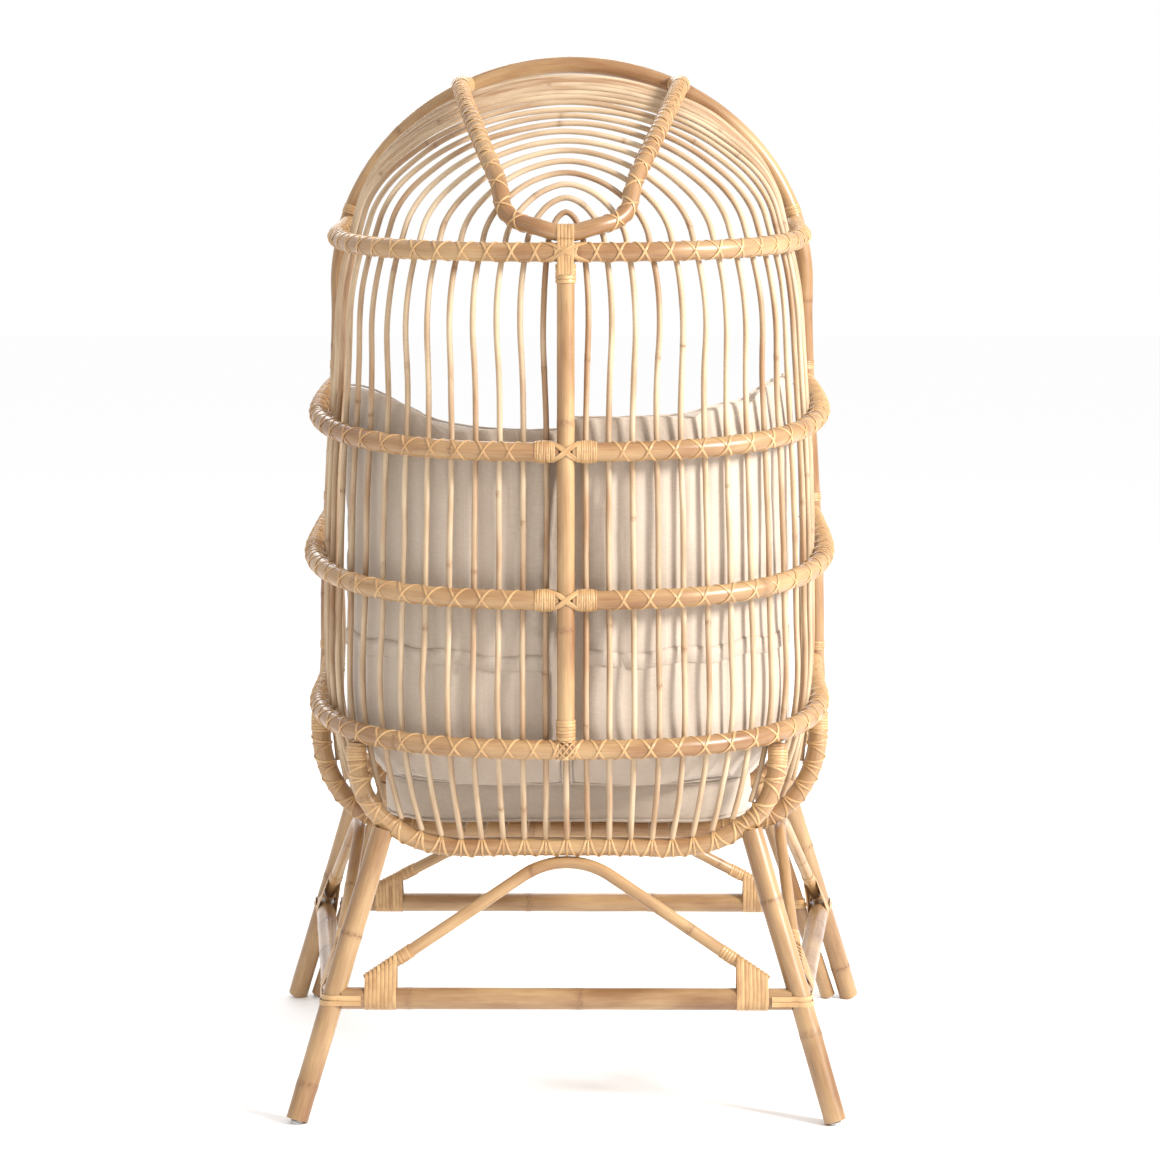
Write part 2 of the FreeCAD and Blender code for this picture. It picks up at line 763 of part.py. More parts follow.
def make_braces(stretchers):
    lines = {}
    for name, apex in brace_apexes().items():
        foot_a, bend_start, top, bend_end, foot_b = brace_line(stretchers[name], apex)
        edges = [
            Part.LineSegment(foot_a, bend_start).toShape(),
            Part.Arc(bend_start, top, bend_end).toShape(),
            Part.LineSegment(bend_end, foot_b).toShape(),
        ]
        label = name.replace("stretcher", "brace")
        node(swept_pole(label, Part.Wire(edges), "Sizes.brace_dia"), label)
        lines[name] = (foot_a, bend_start, bend_end, foot_b)
    return lines


# ---------------------------------------------------------------- cane lashing

def sleeve(point, heading, pole_r, width):
    """One turn of cane: a short tube round a pole."""
    inner = pole_r + size("band_gap")
    outer = inner + size("band_wall")
    start = point - heading * (width / 2)
    return Part.makeCylinder(outer, width, start, heading).cut(Part.makeCylinder(inner, width, start, heading))


def lashing(name, sleeves):
    """A node of separate cane bands."""
    feature = DOC.addObject("Part::Feature", name)
    feature.Shape = Part.makeCompound(sleeves)
    node(feature, name)


def both_sides(places):
    """Places on the left side and their mirror images on the right."""
    flipped = [(V(-p.x, p.y, p.z), V(-t.x, t.y, t.z)) for p, t in places]
    return places + flipped


def nearest_place(line, point):
    """Point of a dense line nearest to a point, and the line's heading there."""
    index = min(range(1, len(line) - 1), key=lambda number: (line[number] - point).Length)
    return line[index], (line[index + 1] - line[index - 1]).normalize()


def ring_places(ring, start):
    """Band places on a ring: midway between spindles, doubled near the hoop."""
    length = ring.length()
    pole = rim(ring_half(ring, start))
    places = []
    beside_pole = size("centre_pole_dia") / 2 + size("band_width") / 2 + GAP
    places.append(nearest_place(pole, point_along(ring.curve, beside_pole / length)[0]))
    for number in range(1, ARCHES + 1):
        low = arch_fraction(number)
        high = arch_fraction(number + 1)
        shares = (0.5,) if number < ARCHES - 3 else (0.36, 0.64)
        for share in shares:
            fraction = low + (high - low) * share
            if fraction < 1 - 28 / length:
                places.append(nearest_place(pole, point_along(ring.curve, fraction)[0]))
    return both_sides(places)


def make_ring_lashing():
    beside_pole = size("centre_pole_dia") / 2 + GAP
    for number, ring in enumerate(RINGS, start=1):
        start = beside_pole / ring.length() if number in (2, 3) else 0.0
        sleeves = [sleeve(p, t, RING_R, size("band_width")) for p, t in ring_places(ring, start)]
        lashing("ring_%d_lashing" % number, sleeves)


def make_hood_loop_lashing():
    """Bands round the hood loop, between the spindle arches that it crosses."""
    points = hood_loop_half()
    path = arc_path(points)
    count = 14
    step = (path.Length - 60) / count
    at_a_crossing = 2
    places = [along(points, 37 + step * number) for number in range(count) if number != at_a_crossing]
    loop_r = size("hood_loop_dia") / 2
    sleeves = [sleeve(p, t, loop_r, size("band_width")) for p, t in both_sides(places)]
    lashing("hood_loop_lashing", sleeves)


def make_cradle_lashing():
    """Bands round the two cradle poles between the spindle ends, and tight turns at their tops."""
    sleeves = []
    back_r = size("back_cradle_dia") / 2
    mid_r = size("mid_cradle_dia") / 2
    back_places = [along(BACK_CRADLE, 29.5 * (number + 0.5)) for number in range(1, 7)]
    mid_length = arc_path(MID_CRADLE).Length
    mid_places = [along(MID_CRADLE, mid_length - 33 - 33 * number) for number in range(6)]
    sleeves += [sleeve(p, t, back_r, size("band_width")) for p, t in both_sides(back_places)]
    sleeves += [sleeve(p, t, mid_r, size("band_width")) for p, t in both_sides(mid_places)]
    lashing("cradle_lashing", sleeves)


def make_pole_bindings():
    """Tight cane turns at both ends of the centre back pole and round ring halves beside it."""
    pole_r = size("centre_pole_dia") / 2
    up = V(0, 0, 1)
    sleeves = []
    for z in (size("ring_1_back_height") - 28, size("ring_4_back_height") + 28):
        for turn in (-1, 0, 1):
            sleeves.append(sleeve(at(0, 0, z + 6.4 * turn), up, pole_r, size("band_width") - 0.4))
    lashing("pole_bindings", sleeves)


def double_band(low, low_r, high, high_r, axis, width):
    """One turn of cane round two poles that lie beside each other."""
    gap = size("band_gap")
    wall = size("band_wall")
    up = (high - low).normalize()
    distance = (high - low).Length
    across = axis.cross(up).normalize()
    shapes = []
    for extra in (gap + wall, gap):
        small = low_r + extra
        large = high_r + extra
        tilt = math.asin((small - large) / distance)
        corners = []
        for centre, radius in ((low, small), (high, large)):
            corners.append([centre + (across * (sign * math.cos(tilt)) + up * math.sin(tilt)) * radius
                            for sign in (1, -1)])
        (low_a, low_b), (high_a, high_b) = corners
        edges = [
            Part.LineSegment(low_a, high_a).toShape(),
            Part.Arc(high_a, high + up * large, high_b).toShape(),
            Part.LineSegment(high_b, low_b).toShape(),
            Part.Arc(low_b, low - up * small, low_a).toShape(),
        ]
        shapes.append(Part.Face(Part.Wire(edges)).extrude(axis * width))
    band = shapes[0].cut(shapes[1])
    band.translate(axis * (-width / 2))
    return band


def make_stretcher_bindings(stretchers, braces):
    """Tight turns round each brace foot and the stretcher under it, and round the brace above."""
    brace_r = size("brace_dia") / 2
    sleeves = []
    for name, (foot_a, bend_start, bend_end, foot_b) in braces.items():
        start, end = stretchers[name]
        for foot, bend, near, far in ((foot_a, bend_start, start, end), (foot_b, bend_end, end, start)):
            axis = (far - near).normalize()
            arm = (bend - foot).normalize()
            stretch = 1 / arm.dot(axis)
            for distance in (9, 16, 23, 30):
                high = foot + arm * (distance * stretch)
                low = near + axis * (high - near).dot(axis)
                high_r = brace_r * stretch + size("brace_band_room")
                sleeves.append(double_band(low, STRETCHER_R, high, high_r, axis, size("band_width")))
            for distance in (60, 67, 74):
                sleeves.append(sleeve(foot + arm * distance, arm, brace_r, size("band_width")))
    lashing("stretcher_bindings", sleeves)


# ---------------------------------------------------------------- cushions

def make_seat_cushion():
    """Boxed seat cushion: a padded body with rounded corners and edges."""
    body = DOC.addObject("PartDesign::Body", "seat_cushion")
    plane = [f for f in body.Origin.OriginFeatures if f.Role == "XY_Plane"][0]
    sketch = body.newObject("Sketcher::SketchObject", "seat_outline")
    sketch.AttachmentSupport = [(plane, "")]
    sketch.MapMode = "FlatFace"
    width = size("seat_cushion_width")
    length = size("seat_cushion_length")
    corners = [V(-width / 2, -length, 0), V(width / 2, -length, 0), V(width / 2, 0, 0), V(-width / 2, 0, 0)]
    for start, end in zip(corners, corners[1:] + corners[:1]):
        line = sketch.addGeometry(Part.LineSegment(start, end))
        sketch.addConstraint(Sketcher.Constraint("Horizontal" if start.y == end.y else "Vertical", line))
    for line in range(4):
        sketch.addConstraint(Sketcher.Constraint("Coincident", line, 2, (line + 1) % 4, 1))
    sketch.addConstraint(Sketcher.Constraint("Symmetric", 2, 1, 2, 2, -1, 1))
    wide = sketch.addConstraint(Sketcher.Constraint("DistanceX", 0, 1, 0, 2, width))
    deep = sketch.addConstraint(Sketcher.Constraint("DistanceY", 1, 1, 1, 2, length))
    sketch.setExpression("Constraints[%d]" % wide, "Sizes.seat_cushion_width")
    sketch.setExpression("Constraints[%d]" % deep, "Sizes.seat_cushion_length")
    pad = body.newObject("PartDesign::Pad", "seat_pad")
    pad.Profile = sketch
    pad.setExpression("Length", "Sizes.seat_cushion_thickness")
    DOC.recompute()
    upright = [index for index, edge in enumerate(pad.Shape.Edges, start=1)
               if abs(edge.tangentAt(edge.FirstParameter).z) > 0.9]
    rounds = body.newObject("PartDesign::Fillet", "seat_corners")
    rounds.Base = (pad, ["Edge%d" % index for index in upright])
    rounds.setExpression("Radius", "Sizes.seat_cushion_corner")
    DOC.recompute()
    flat = [index for index, face in enumerate(rounds.Shape.Faces, start=1)
            if abs(face.normalAt(0, 0).z) > 0.9]
    softened = body.newObject("PartDesign::Fillet", "seat_edges")
    softened.Base = (rounds, ["Face%d" % index for index in flat])
    softened.setExpression("Radius", "Sizes.seat_cushion_edge")
    body.Tip = softened
    body.Placement = FreeCAD.Placement(at(0, size("seat_cushion_back_depth"), size("seat_height")),
                                       FreeCAD.Rotation())
    node(body, "seat_cushion")


def rim(points):
    """Dense points along the smooth line through the points."""
    return arc_path(points).discretize(Distance=0.5)


def make_back_cushions():
    """Tall cushions that follow the inside of the basket on each side of the centre.

    The lower back edge is cut away where the spindles lean in under ring 4."""
    ring = RINGS[1]
    outer_inset = SPINDLE_INSET + SPINDLE_R + 6
    inner_inset = outer_inset + size("back_cushion_thickness")
    start = 26 / ring.length()
    stop = size("back_cushion_side")
    base = size("seat_height") + size("seat_cushion_thickness") + 3.5
    shares = (0.0, 0.2, 0.4, 0.6, 0.8, 1.0)
    outer = [ring.inside(start + (stop - start) * share, outer_inset) for share in shares]
    inner = [ring.inside(start + (stop - start) * share, inner_inset) for share in shares]
    for side, word in ((1, "left"), (-1, "right")):
        front = [V(p.x * side, p.y, base) for p in inner]
        back = [V(p.x * side, p.y, base) for p in outer]
        edges = arc_path(back).Edges + arc_path(front).Edges
        edges.append(Part.LineSegment(back[0], front[0]).toShape())
        edges.append(Part.LineSegment(back[-1], front[-1]).toShape())
        outline = DOC.addObject("Part::Feature", "back_cushion_%s_outline" % word)
        outline.Shape = Part.Wire(Part.__sortEdges__(edges))
        cushion = DOC.addObject("Part::Extrusion", "back_cushion_%s_block" % word)
        cushion.Base = outline
        cushion.DirMode = "Custom"
        cushion.Dir = V(0, 0, 1)
        cushion.setExpression("LengthFwd", "Sizes.back_cushion_height")
        cushion.Solid = True
        DOC.recompute()
        low_back = []
        for index, edge in enumerate(cushion.Shape.Edges, start=1):
            middle = edge.valueAt((edge.FirstParameter + edge.LastParameter) / 2)
            gap = min((middle - point).Length for point in rim(back))
            if abs(middle.z - base) < 0.01 and gap < 1.0:
                low_back.append((index, size("back_cushion_chamfer"), size("back_cushion_chamfer")))
        chamfer = DOC.addObject("Part::Chamfer", "back_cushion_%s_body" % word)
        chamfer.Base = cushion
        chamfer.Edges = low_back
        node(chamfer, "back_cushion_%s" % word)


# ---------------------------------------------------------------- assembly

def build():
    hoop_clearance = make_hoop()
    make_rings()
    make_centre_poles()
    make_arches()
    make_hood_loop()
    cradle_clearance = make_cradles()
    make_slats()
    stretchers = make_base(hoop_clearance, cradle_clearance)
    braces = make_braces(stretchers)
    make_ring_lashing()
    make_hood_loop_lashing()
    make_cradle_lashing()
    make_pole_bindings()
    make_stretcher_bindings(stretchers, braces)
    make_seat_cushion()
    make_back_cushions()
    DOC.recompute()


def check_and_export():
    """Stop on any failed object, then write each sub-part to its own STEP file."""
    for feature in DOC.Objects:
        if "Invalid" in feature.State or "Error" in feature.State:
            raise RuntimeError("%s did not compute: %s" % (feature.Name, feature.State))
    os.makedirs("parts", exist_ok=True)
    for feature in NODES:
        shape = feature.Shape
        if shape.isNull() or not shape.isValid() or not shape.Solids:
            raise RuntimeError("%s has no valid solid" % feature.Label)
        shape.exportStep(os.path.join("parts", feature.Label + ".step"))
        print("%-22s %3d solids %10.0f mm3" % (feature.Label, len(shape.Solids), shape.Volume))
    whole = Part.makeCompound([feature.Shape for feature in NODES]).BoundBox
    print("nodes", len(NODES))
    print("box x %.1f %.1f y %.1f %.1f z %.1f %.1f" % (
        whole.XMin, whole.XMax, whole.YMin, whole.YMax, whole.ZMin, whole.ZMax))


build()
check_and_export()
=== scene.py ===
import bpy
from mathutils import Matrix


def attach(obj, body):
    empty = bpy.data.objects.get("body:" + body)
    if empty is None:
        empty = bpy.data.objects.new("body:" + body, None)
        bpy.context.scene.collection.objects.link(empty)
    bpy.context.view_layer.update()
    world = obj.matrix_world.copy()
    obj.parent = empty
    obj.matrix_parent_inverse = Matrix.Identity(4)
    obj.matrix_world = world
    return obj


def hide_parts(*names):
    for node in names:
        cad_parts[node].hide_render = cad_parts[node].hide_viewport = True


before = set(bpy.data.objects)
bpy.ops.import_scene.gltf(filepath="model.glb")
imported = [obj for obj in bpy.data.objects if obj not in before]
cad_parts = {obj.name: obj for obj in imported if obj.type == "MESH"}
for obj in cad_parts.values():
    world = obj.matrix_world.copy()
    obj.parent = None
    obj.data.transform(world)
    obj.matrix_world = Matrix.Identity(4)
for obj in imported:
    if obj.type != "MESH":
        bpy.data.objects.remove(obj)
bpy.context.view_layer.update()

import math

import bpy
import numpy as np

# Rattan egg chair on splayed legs, seen from behind.  Lengths are in millimetres until a mesh is
# made, in the frame of the CAD model: +Z up, the open front faces -Y, +X is the sitter's left.

# ---------------------------------------------------------------- sizes of the frame

HOOP_R, RING_R, LOOP_R, PILLAR_R, SPINDLE_R = 13.0, 13.0, 11.5, 12.0, 4.0
BACK_CRADLE_R, MID_CRADLE_R, LEG_R, INNER_LEG_R = 13.0, 14.0, 15.5, 12.0
STRETCHER_R, BRACE_R, SLAT_R = 15.0, 8.75, 4.5
GAP = 0.8
HOOP_TOP, HOOP_BOTTOM, HOOP_CROWN = 1492.0, 368.0, 1162.0
HOOP_WIDE, HOOP_NARROW, HOOP_SIDE, HOOP_CORNER = 384.0, 360.0, 600.0, 150.0
HOOP_TOP_DEPTH, HOOP_BOTTOM_DEPTH = 545.0, 617.0
BACK = 356.0
SHOULDER, SQUARENESS = 400.0, 2.6
RING_SIZES = ((340.0, 1191.0, 1250.0), (369.0, 923.0, 1010.0), (377.0, 722.0, 804.0), (371.0, 518.0, 569.0))
ARCHES, CROWDING = 20, 1.12
BACK_CRADLE_DEPTH, BACK_CRADLE_Z = 90.0, 368.0
MID_CRADLE_DEPTH, MID_CRADLE_Z = 320.0, 351.0
STRETCHER_Z = 165.0
INSET = RING_R + GAP + SPINDLE_R + 0.5
HOOD_INSET = INSET + 1.2
RING_END_CLEAR, LANDING_CLEAR = GAP + 1.0, 0.4

# the hood's crown starts above ring 1, leads forward a little and runs on to the hoop
HOOD_START, HOOD_LEAD, HOOD_RUN, HOOD_RISE, HOOD_FULLNESS = 1228.0, 22.0, 508.0, 244.0, 1.57
HOOD_BACK_POWER, HOOD_FRONT_POWER = 1.75, 2.0
LOOP_WIDE, LOOP_FULLNESS, LOOP_CLEAR = 159.0, 1.92, 2.7

# where the lower ends of the spindles are tied: pitch along each pole, or in height up the hoop
LAST_ON_BACK, LAST_ON_MID = 10, 16
BACK_PITCH, MID_PITCH, HOOP_PITCH, HOOP_TIE_Z = 29.5, 33.0, 27.0, 404.0

BACK_FOOT_X, FRONT_FOOT_X, INNER_FOOT_X, FRONT_FOOT_DEPTH = 371.0, 451.0, 417.0, 712.0
GLIDE_HEIGHT = 5.0
# where the legs' tops and the side braces' tops meet the basket: along a cradle, or in height up the hoop
BACK_LEG_TOP, FRONT_LEG_TOP_Z, INNER_LEG_TOP_Z, SIDE_BRACE_TOP = 262.0, 400.0, 379.0, 310.0
BRACE_INSET, BRACE_BEND_R = 46.0, 110.0


def vec(x, y, z):
    return np.array([x, y, z], float)


UP = vec(0, 0, 1)


def unit(v):
    return v / np.linalg.norm(v)


def at(x, depth, z):
    """A point given by its depth forward of the basket's back instead of by y."""
    return vec(x, BACK - depth, z)


def flip(points):
    """The same points on the other side of the chair."""
    return [vec(-p[0], p[1], p[2]) for p in points]


# ---------------------------------------------------------------- bent centrelines

def circle_headings(points):
    """Heading at each point, from the circle through it and its neighbours."""
    chords = [b - a for a, b in zip(points, points[1:])]
    headings = [unit(a / a.dot(a) + b / b.dot(b)) for a, b in zip(chords, chords[1:])]
    first, last = unit(chords[0]), unit(chords[-1])
    start = first * (2 * first.dot(headings[0])) - headings[0]
    end = last * (2 * last.dot(headings[-1])) - headings[-1]
    return [start] + headings + [end]


def arc_points(start, corner, end):
    """Points along the arc that leaves start towards corner and reaches end from corner."""
    half_chord = np.linalg.norm(end - start) / 2
    rise = np.linalg.norm(corner - (start + end) / 2)
    weight = math.cos(math.atan2(rise, half_chord))
    t = np.linspace(0, 1, max(3, int(half_chord / 2)))[:, None]
    low, middle, high = (1 - t) ** 2, 2 * weight * t * (1 - t), t ** 2
    return (low * start + middle * corner + high * end) / (low + middle + high)


def bent(points):
    """A smooth path of arcs through all the points."""
    points = [np.asarray(p, float) for p in points]
    headings = circle_headings(points)
    path = [points[:1]]
    for a, heading_a, b, heading_b in zip(points, headings, points[1:], headings[1:]):
        span = b - a
        spread, along = 2 * (1 - heading_a.dot(heading_b)), span.dot(heading_a + heading_b)
        if spread < 1e-9:
            reach = span.dot(span) / (2 * along)
        else:
            reach = (math.sqrt(along ** 2 + spread * span.dot(span)) - along) / spread
        corners = a + heading_a * reach, b - heading_b * reach
        joint = (corners[0] + corners[1]) / 2
        path += [arc_points(a, corners[0], joint)[1:], arc_points(joint, corners[1], b)[1:]]
    return np.vstack(path)


class Line:
    """A pole's centreline, sampled evenly, with an outward side for lashing."""

    def __init__(self, points, step=5.0, outward=None):
        points = np.asarray(points, float)
        lengths = np.r_[0, np.cumsum(np.linalg.norm(np.diff(points, axis=0), axis=1))]
        self.length = lengths[-1]
        self.s = np.linspace(0, self.length, max(3, int(self.length / step)) + 1)
        self.points = np.stack([np.interp(self.s, lengths, points[:, i]) for i in range(3)], 1)
        self.tangents = np.gradient(self.points, self.s, axis=0)
        self.tangents /= np.linalg.norm(self.tangents, axis=1)[:, None]
        self.outward = outward

    def place(self, s):
        """Points, headings, outward sides and the third sides at distances along the pole."""
        s = np.atleast_1d(s)
        point = np.stack([np.interp(s, self.s, self.points[:, i]) for i in range(3)], 1)
        point += self.tangents[-1] * np.maximum(s - self.length, 0)[:, None]
        point += self.tangents[0] * np.minimum(s, 0)[:, None]
        heading = np.stack([np.interp(s, self.s, self.tangents[:, i]) for i in range(3)], 1)
        heading /= np.linalg.norm(heading, axis=1)[:, None]
        out = self.outward(point, heading)
        out = out - heading * (out * heading).sum(1)[:, None]
        out /= np.linalg.norm(out, axis=1)[:, None]
        return point, heading, out, np.cross(heading, out)

    def nearest(self, point):
        """Distance along the pole of the place nearest to a point."""
        return self.s[np.argmin(np.linalg.norm(self.points - point, axis=1))]


def hoop_depth(z):
    change = HOOP_TOP_DEPTH - HOOP_BOTTOM_DEPTH
    return HOOP_BOTTOM_DEPTH + change * (z - HOOP_BOTTOM) / (HOOP_TOP - HOOP_BOTTOM)


def hoop_half_width(z):
    """Half width of the hoop above its bottom corners."""
    if z > HOOP_CROWN:
        return HOOP_NARROW * math.sqrt(max(0.0, 1 - ((z - HOOP_CROWN) / (HOOP_TOP - HOOP_CROWN)) ** 2))
    top = HOOP_BOTTOM + HOOP_CORNER
    if z < top:
        return HOOP_WIDE - HOOP_CORNER + math.sqrt(max(0.0, HOOP_CORNER ** 2 - (top - z) ** 2))
    swing = min(max((z - HOOP_SIDE) / (HOOP_CROWN - HOOP_SIDE), 0.0), 1.0)
    return (HOOP_WIDE + HOOP_NARROW) / 2 + (HOOP_WIDE - HOOP_NARROW) / 2 * math.cos(math.pi * swing)


def hoop_point(z):
    return at(hoop_half_width(z), hoop_depth(z), z)


def point_along(points, fraction):
    """The point at a fraction of the length of a polyline, and its heading."""
    points = np.asarray(points)
    steps = np.linalg.norm(np.diff(points, axis=0), axis=1)
    lengths = np.r_[0, np.cumsum(steps)]
    goal = min(max(fraction, 0.0), 1.0) * lengths[-1]
    index = min(int(np.searchsorted(lengths, goal, side="left")), len(steps)) - 1
    index = max(index, 0)
    heading = (points[index + 1] - points[index]) / steps[index]
    return points[index] + heading * (goal - lengths[index]), heading


class RingPlan:
    """Half of a basket ring: a squarish half oval that tilts up to the front."""

    def __init__(self, half_width, back_z, front_z):
        self.back_z, self.front_z = back_z, front_z
        self.front_depth = hoop_depth(front_z)
        power = 2 / SQUARENESS
        front_x = hoop_half_width(front_z) - 3.0
        turns = np.linspace(0, math.pi / 2, 121)
        plan = [(half_width * math.sin(t) ** power, SHOULDER * (1 - abs(math.cos(t)) ** power))
                for t in turns]
        for share in np.linspace(0.05, 1, 20):
            plan.append((half_width + (front_x - half_width) * share ** 2,
                         SHOULDER + (self.front_depth - SHOULDER) * share))
        self.curve = np.array([at(x, depth, self.height(depth)) for x, depth in plan])
        self.length = np.linalg.norm(np.diff(self.curve, axis=0), axis=1).sum()

    def height(self, depth):
        return self.back_z + (self.front_z - self.back_z) * depth / self.front_depth

    def centre(self, fraction):
        return point_along(self.curve, fraction)[0]

    def inside(self, fraction, inset):
        """A point that far inside the ring's centreline."""
        point, heading = point_along(self.curve, fraction)
        inward = np.cross(UP, heading)
        if inward.dot(-point * vec(1, 1, 0)) < 0:
            inward = -inward
        return point + unit(inward) * inset


RINGS = [RingPlan(*sizes) for sizes in RING_SIZES]


def arch_fraction(number):
    return (number / (ARCHES + 1)) ** CROWDING


def ridge_curve():
    """The crown of the hood from above ring 1 to the hoop."""
    power = 2 / HOOD_FULLNESS
    turns = np.linspace(0, math.pi / 2, 101)
    return np.array([at(0, HOOD_LEAD + HOOD_RUN * (1 - abs(math.cos(t)) ** power),
                        HOOD_START + HOOD_RISE * math.sin(t) ** power) for t in turns])


RIDGE = ridge_curve()


def hood_power(fraction):
    """Exponent of a hood arch's outline, which is leaner at the back than beside the hoop."""
    return 2 / (HOOD_BACK_POWER + (HOOD_FRONT_POWER - HOOD_BACK_POWER) * fraction)


def hood_point(fraction, turn):
    """The hood's surface: turn is 0 at ring 1 and 90 degrees at the ridge."""
    foot = RINGS[0].inside(fraction, HOOD_INSET)
    crown = point_along(RIDGE, fraction)[0]
    power = hood_power(fraction)
    across, rise = max(math.cos(turn), 0.0) ** power, max(math.sin(turn), 0.0) ** power
    return vec(foot[0] * across, foot[1] + (crown[1] - foot[1]) * rise, foot[2] + (crown[2] - foot[2]) * rise)


BACK_OUTLINE = ((0, 0), (80, 0), (164, 0), (206, 8), (235, 22), (261, 41), (280, 66), (290, 95), (294, 143))
MID_OUTLINE = ((0, 0), (120, 0), (222, 1), (268, 8), (304, 24), (332, 47), (353, 80), (364, 114), (367, 150),
               (366, 177))
BACK_CRADLE = [at(x, BACK_CRADLE_DEPTH + 14.0 * rise / 143, BACK_CRADLE_Z + rise) for x, rise in BACK_OUTLINE]
MID_CRADLE = [at(x, MID_CRADLE_DEPTH, MID_CRADLE_Z + rise) for x, rise in MID_OUTLINE]


def hoop_stations():
    """Left half of the hoop, from the bottom centre up to the crown."""
    flat = HOOP_WIDE - HOOP_CORNER
    points = [at(0.4, hoop_depth(HOOP_BOTTOM), HOOP_BOTTOM)]
    points += [at(flat * share, hoop_depth(HOOP_BOTTOM), HOOP_BOTTOM) for share in (0.4, 0.8)]
    for degrees in (10, 35, 60, 85):
        turn = math.radians(degrees)
        z = HOOP_BOTTOM + HOOP_CORNER * (1 - math.cos(turn))
        points.append(at(flat + HOOP_CORNER * math.sin(turn), hoop_depth(z), z))
    points += [hoop_point(z) for z in (600, 720, 850, 980, 1100)]
    for degrees in range(6, 90, 14):
        points.append(hoop_point(HOOP_CROWN + (HOOP_TOP - HOOP_CROWN) * math.sin(math.radians(degrees))))
    return points


def landing(point, heading, pole_r, origin):
    """Where a spindle that comes down from origin stops beside a pole."""
    approach = origin - point
    side = approach - heading * approach.dot(heading)
    slant = abs(unit(approach).dot(heading))
    return point + unit(side) * (pole_r + GAP + LANDING_CLEAR + SPINDLE_R * slant)


def outward_of(centre):
    """Outward side of a pole: away from a point inside the chair."""
    return lambda point, heading: point - centre


def ring_outward(point, heading):
    return np.cross(UP, heading)


def both(left):
    """A whole pole from the stations of its left half, right end first."""
    return bent(flip(left)[::-1] + list(left[1:]))


def straight(start, end):
    return np.array([start + (end - start) * share for share in np.linspace(0, 1, 41)])


HOOP_LEFT = Line(bent(hoop_stations()), outward=outward_of(vec(0, -210, 900)))
BACK_LEFT = Line(bent(BACK_CRADLE), outward=outward_of(vec(0, 262, 560)))
MID_LEFT = Line(bent(MID_CRADLE), outward=outward_of(vec(0, 36, 560)))


def spindle_end(number, origin):
    """Bottom end of a spindle, the line it is tied to and its distance along that line."""
    if number <= LAST_ON_BACK:
        line, pole_r, s = BACK_LEFT, BACK_CRADLE_R, BACK_PITCH * number + 2.2 * max(0, number - 6) ** 2
    elif number <= LAST_ON_MID:
        line, pole_r, s = MID_LEFT, MID_CRADLE_R, MID_LEFT.length - 50 - MID_PITCH * (LAST_ON_MID - number)
    else:
        line, pole_r = HOOP_LEFT, HOOP_R
        s = line.nearest(hoop_point(HOOP_TIE_Z + HOOP_PITCH * (number - LAST_ON_MID - 1)))
    point, heading, _, _ = line.place(s)
    return landing(point[0], heading[0], pole_r, origin), line, s


def arch_left(number):
    """Stations of a spindle arch's left half, bottom first."""
    fraction = arch_fraction(number)
    legs = [ring.inside(fraction, INSET) for ring in reversed(RINGS[1:])]
    hood = [hood_point(fraction, math.radians(degrees)) for degrees in (0, 22, 45, 68)]
    return [spindle_end(number, legs[0])[0]] + legs + hood


def hood_loop_left():
    """Stations of the hood loop's left half, from the top of ring 1 to the back of the hoop."""
    bottom = RING_SIZES[0][1] + RING_R + GAP + LOOP_R
    points, shares = [at(0, 0, bottom), at(42, 2, bottom + 9.5)], [0.0, 0.0]
    for fraction in (0.1, 0.2, 0.32, 0.46, 0.62, 0.8, 0.95):
        x = LOOP_WIDE * (1 - (1 - fraction) ** LOOP_FULLNESS) ** (1 / LOOP_FULLNESS)
        turn = math.acos((x / RINGS[0].inside(fraction, INSET)[0]) ** (1 / hood_power(fraction)))
        across = hood_point(fraction, turn + 0.02) - hood_point(fraction, turn - 0.02)
        forward = hood_point(fraction + 0.01, turn) - hood_point(fraction - 0.01, turn)
        outward = unit(np.cross(across, forward))
        outward *= math.copysign(1, outward[2])
        points.append(hood_point(fraction, turn) + outward * (SPINDLE_R + GAP + LOOP_CLEAR + LOOP_R))
        shares.append(fraction)
    z = HOOP_CROWN + (HOOP_TOP - HOOP_CROWN) * math.sqrt(1 - (LOOP_WIDE / HOOP_NARROW) ** 2)
    points.append(at(LOOP_WIDE, hoop_depth(z) - 8.0, z + 3.0))
    return points, shares


# ---------------------------------------------------------------- meshes

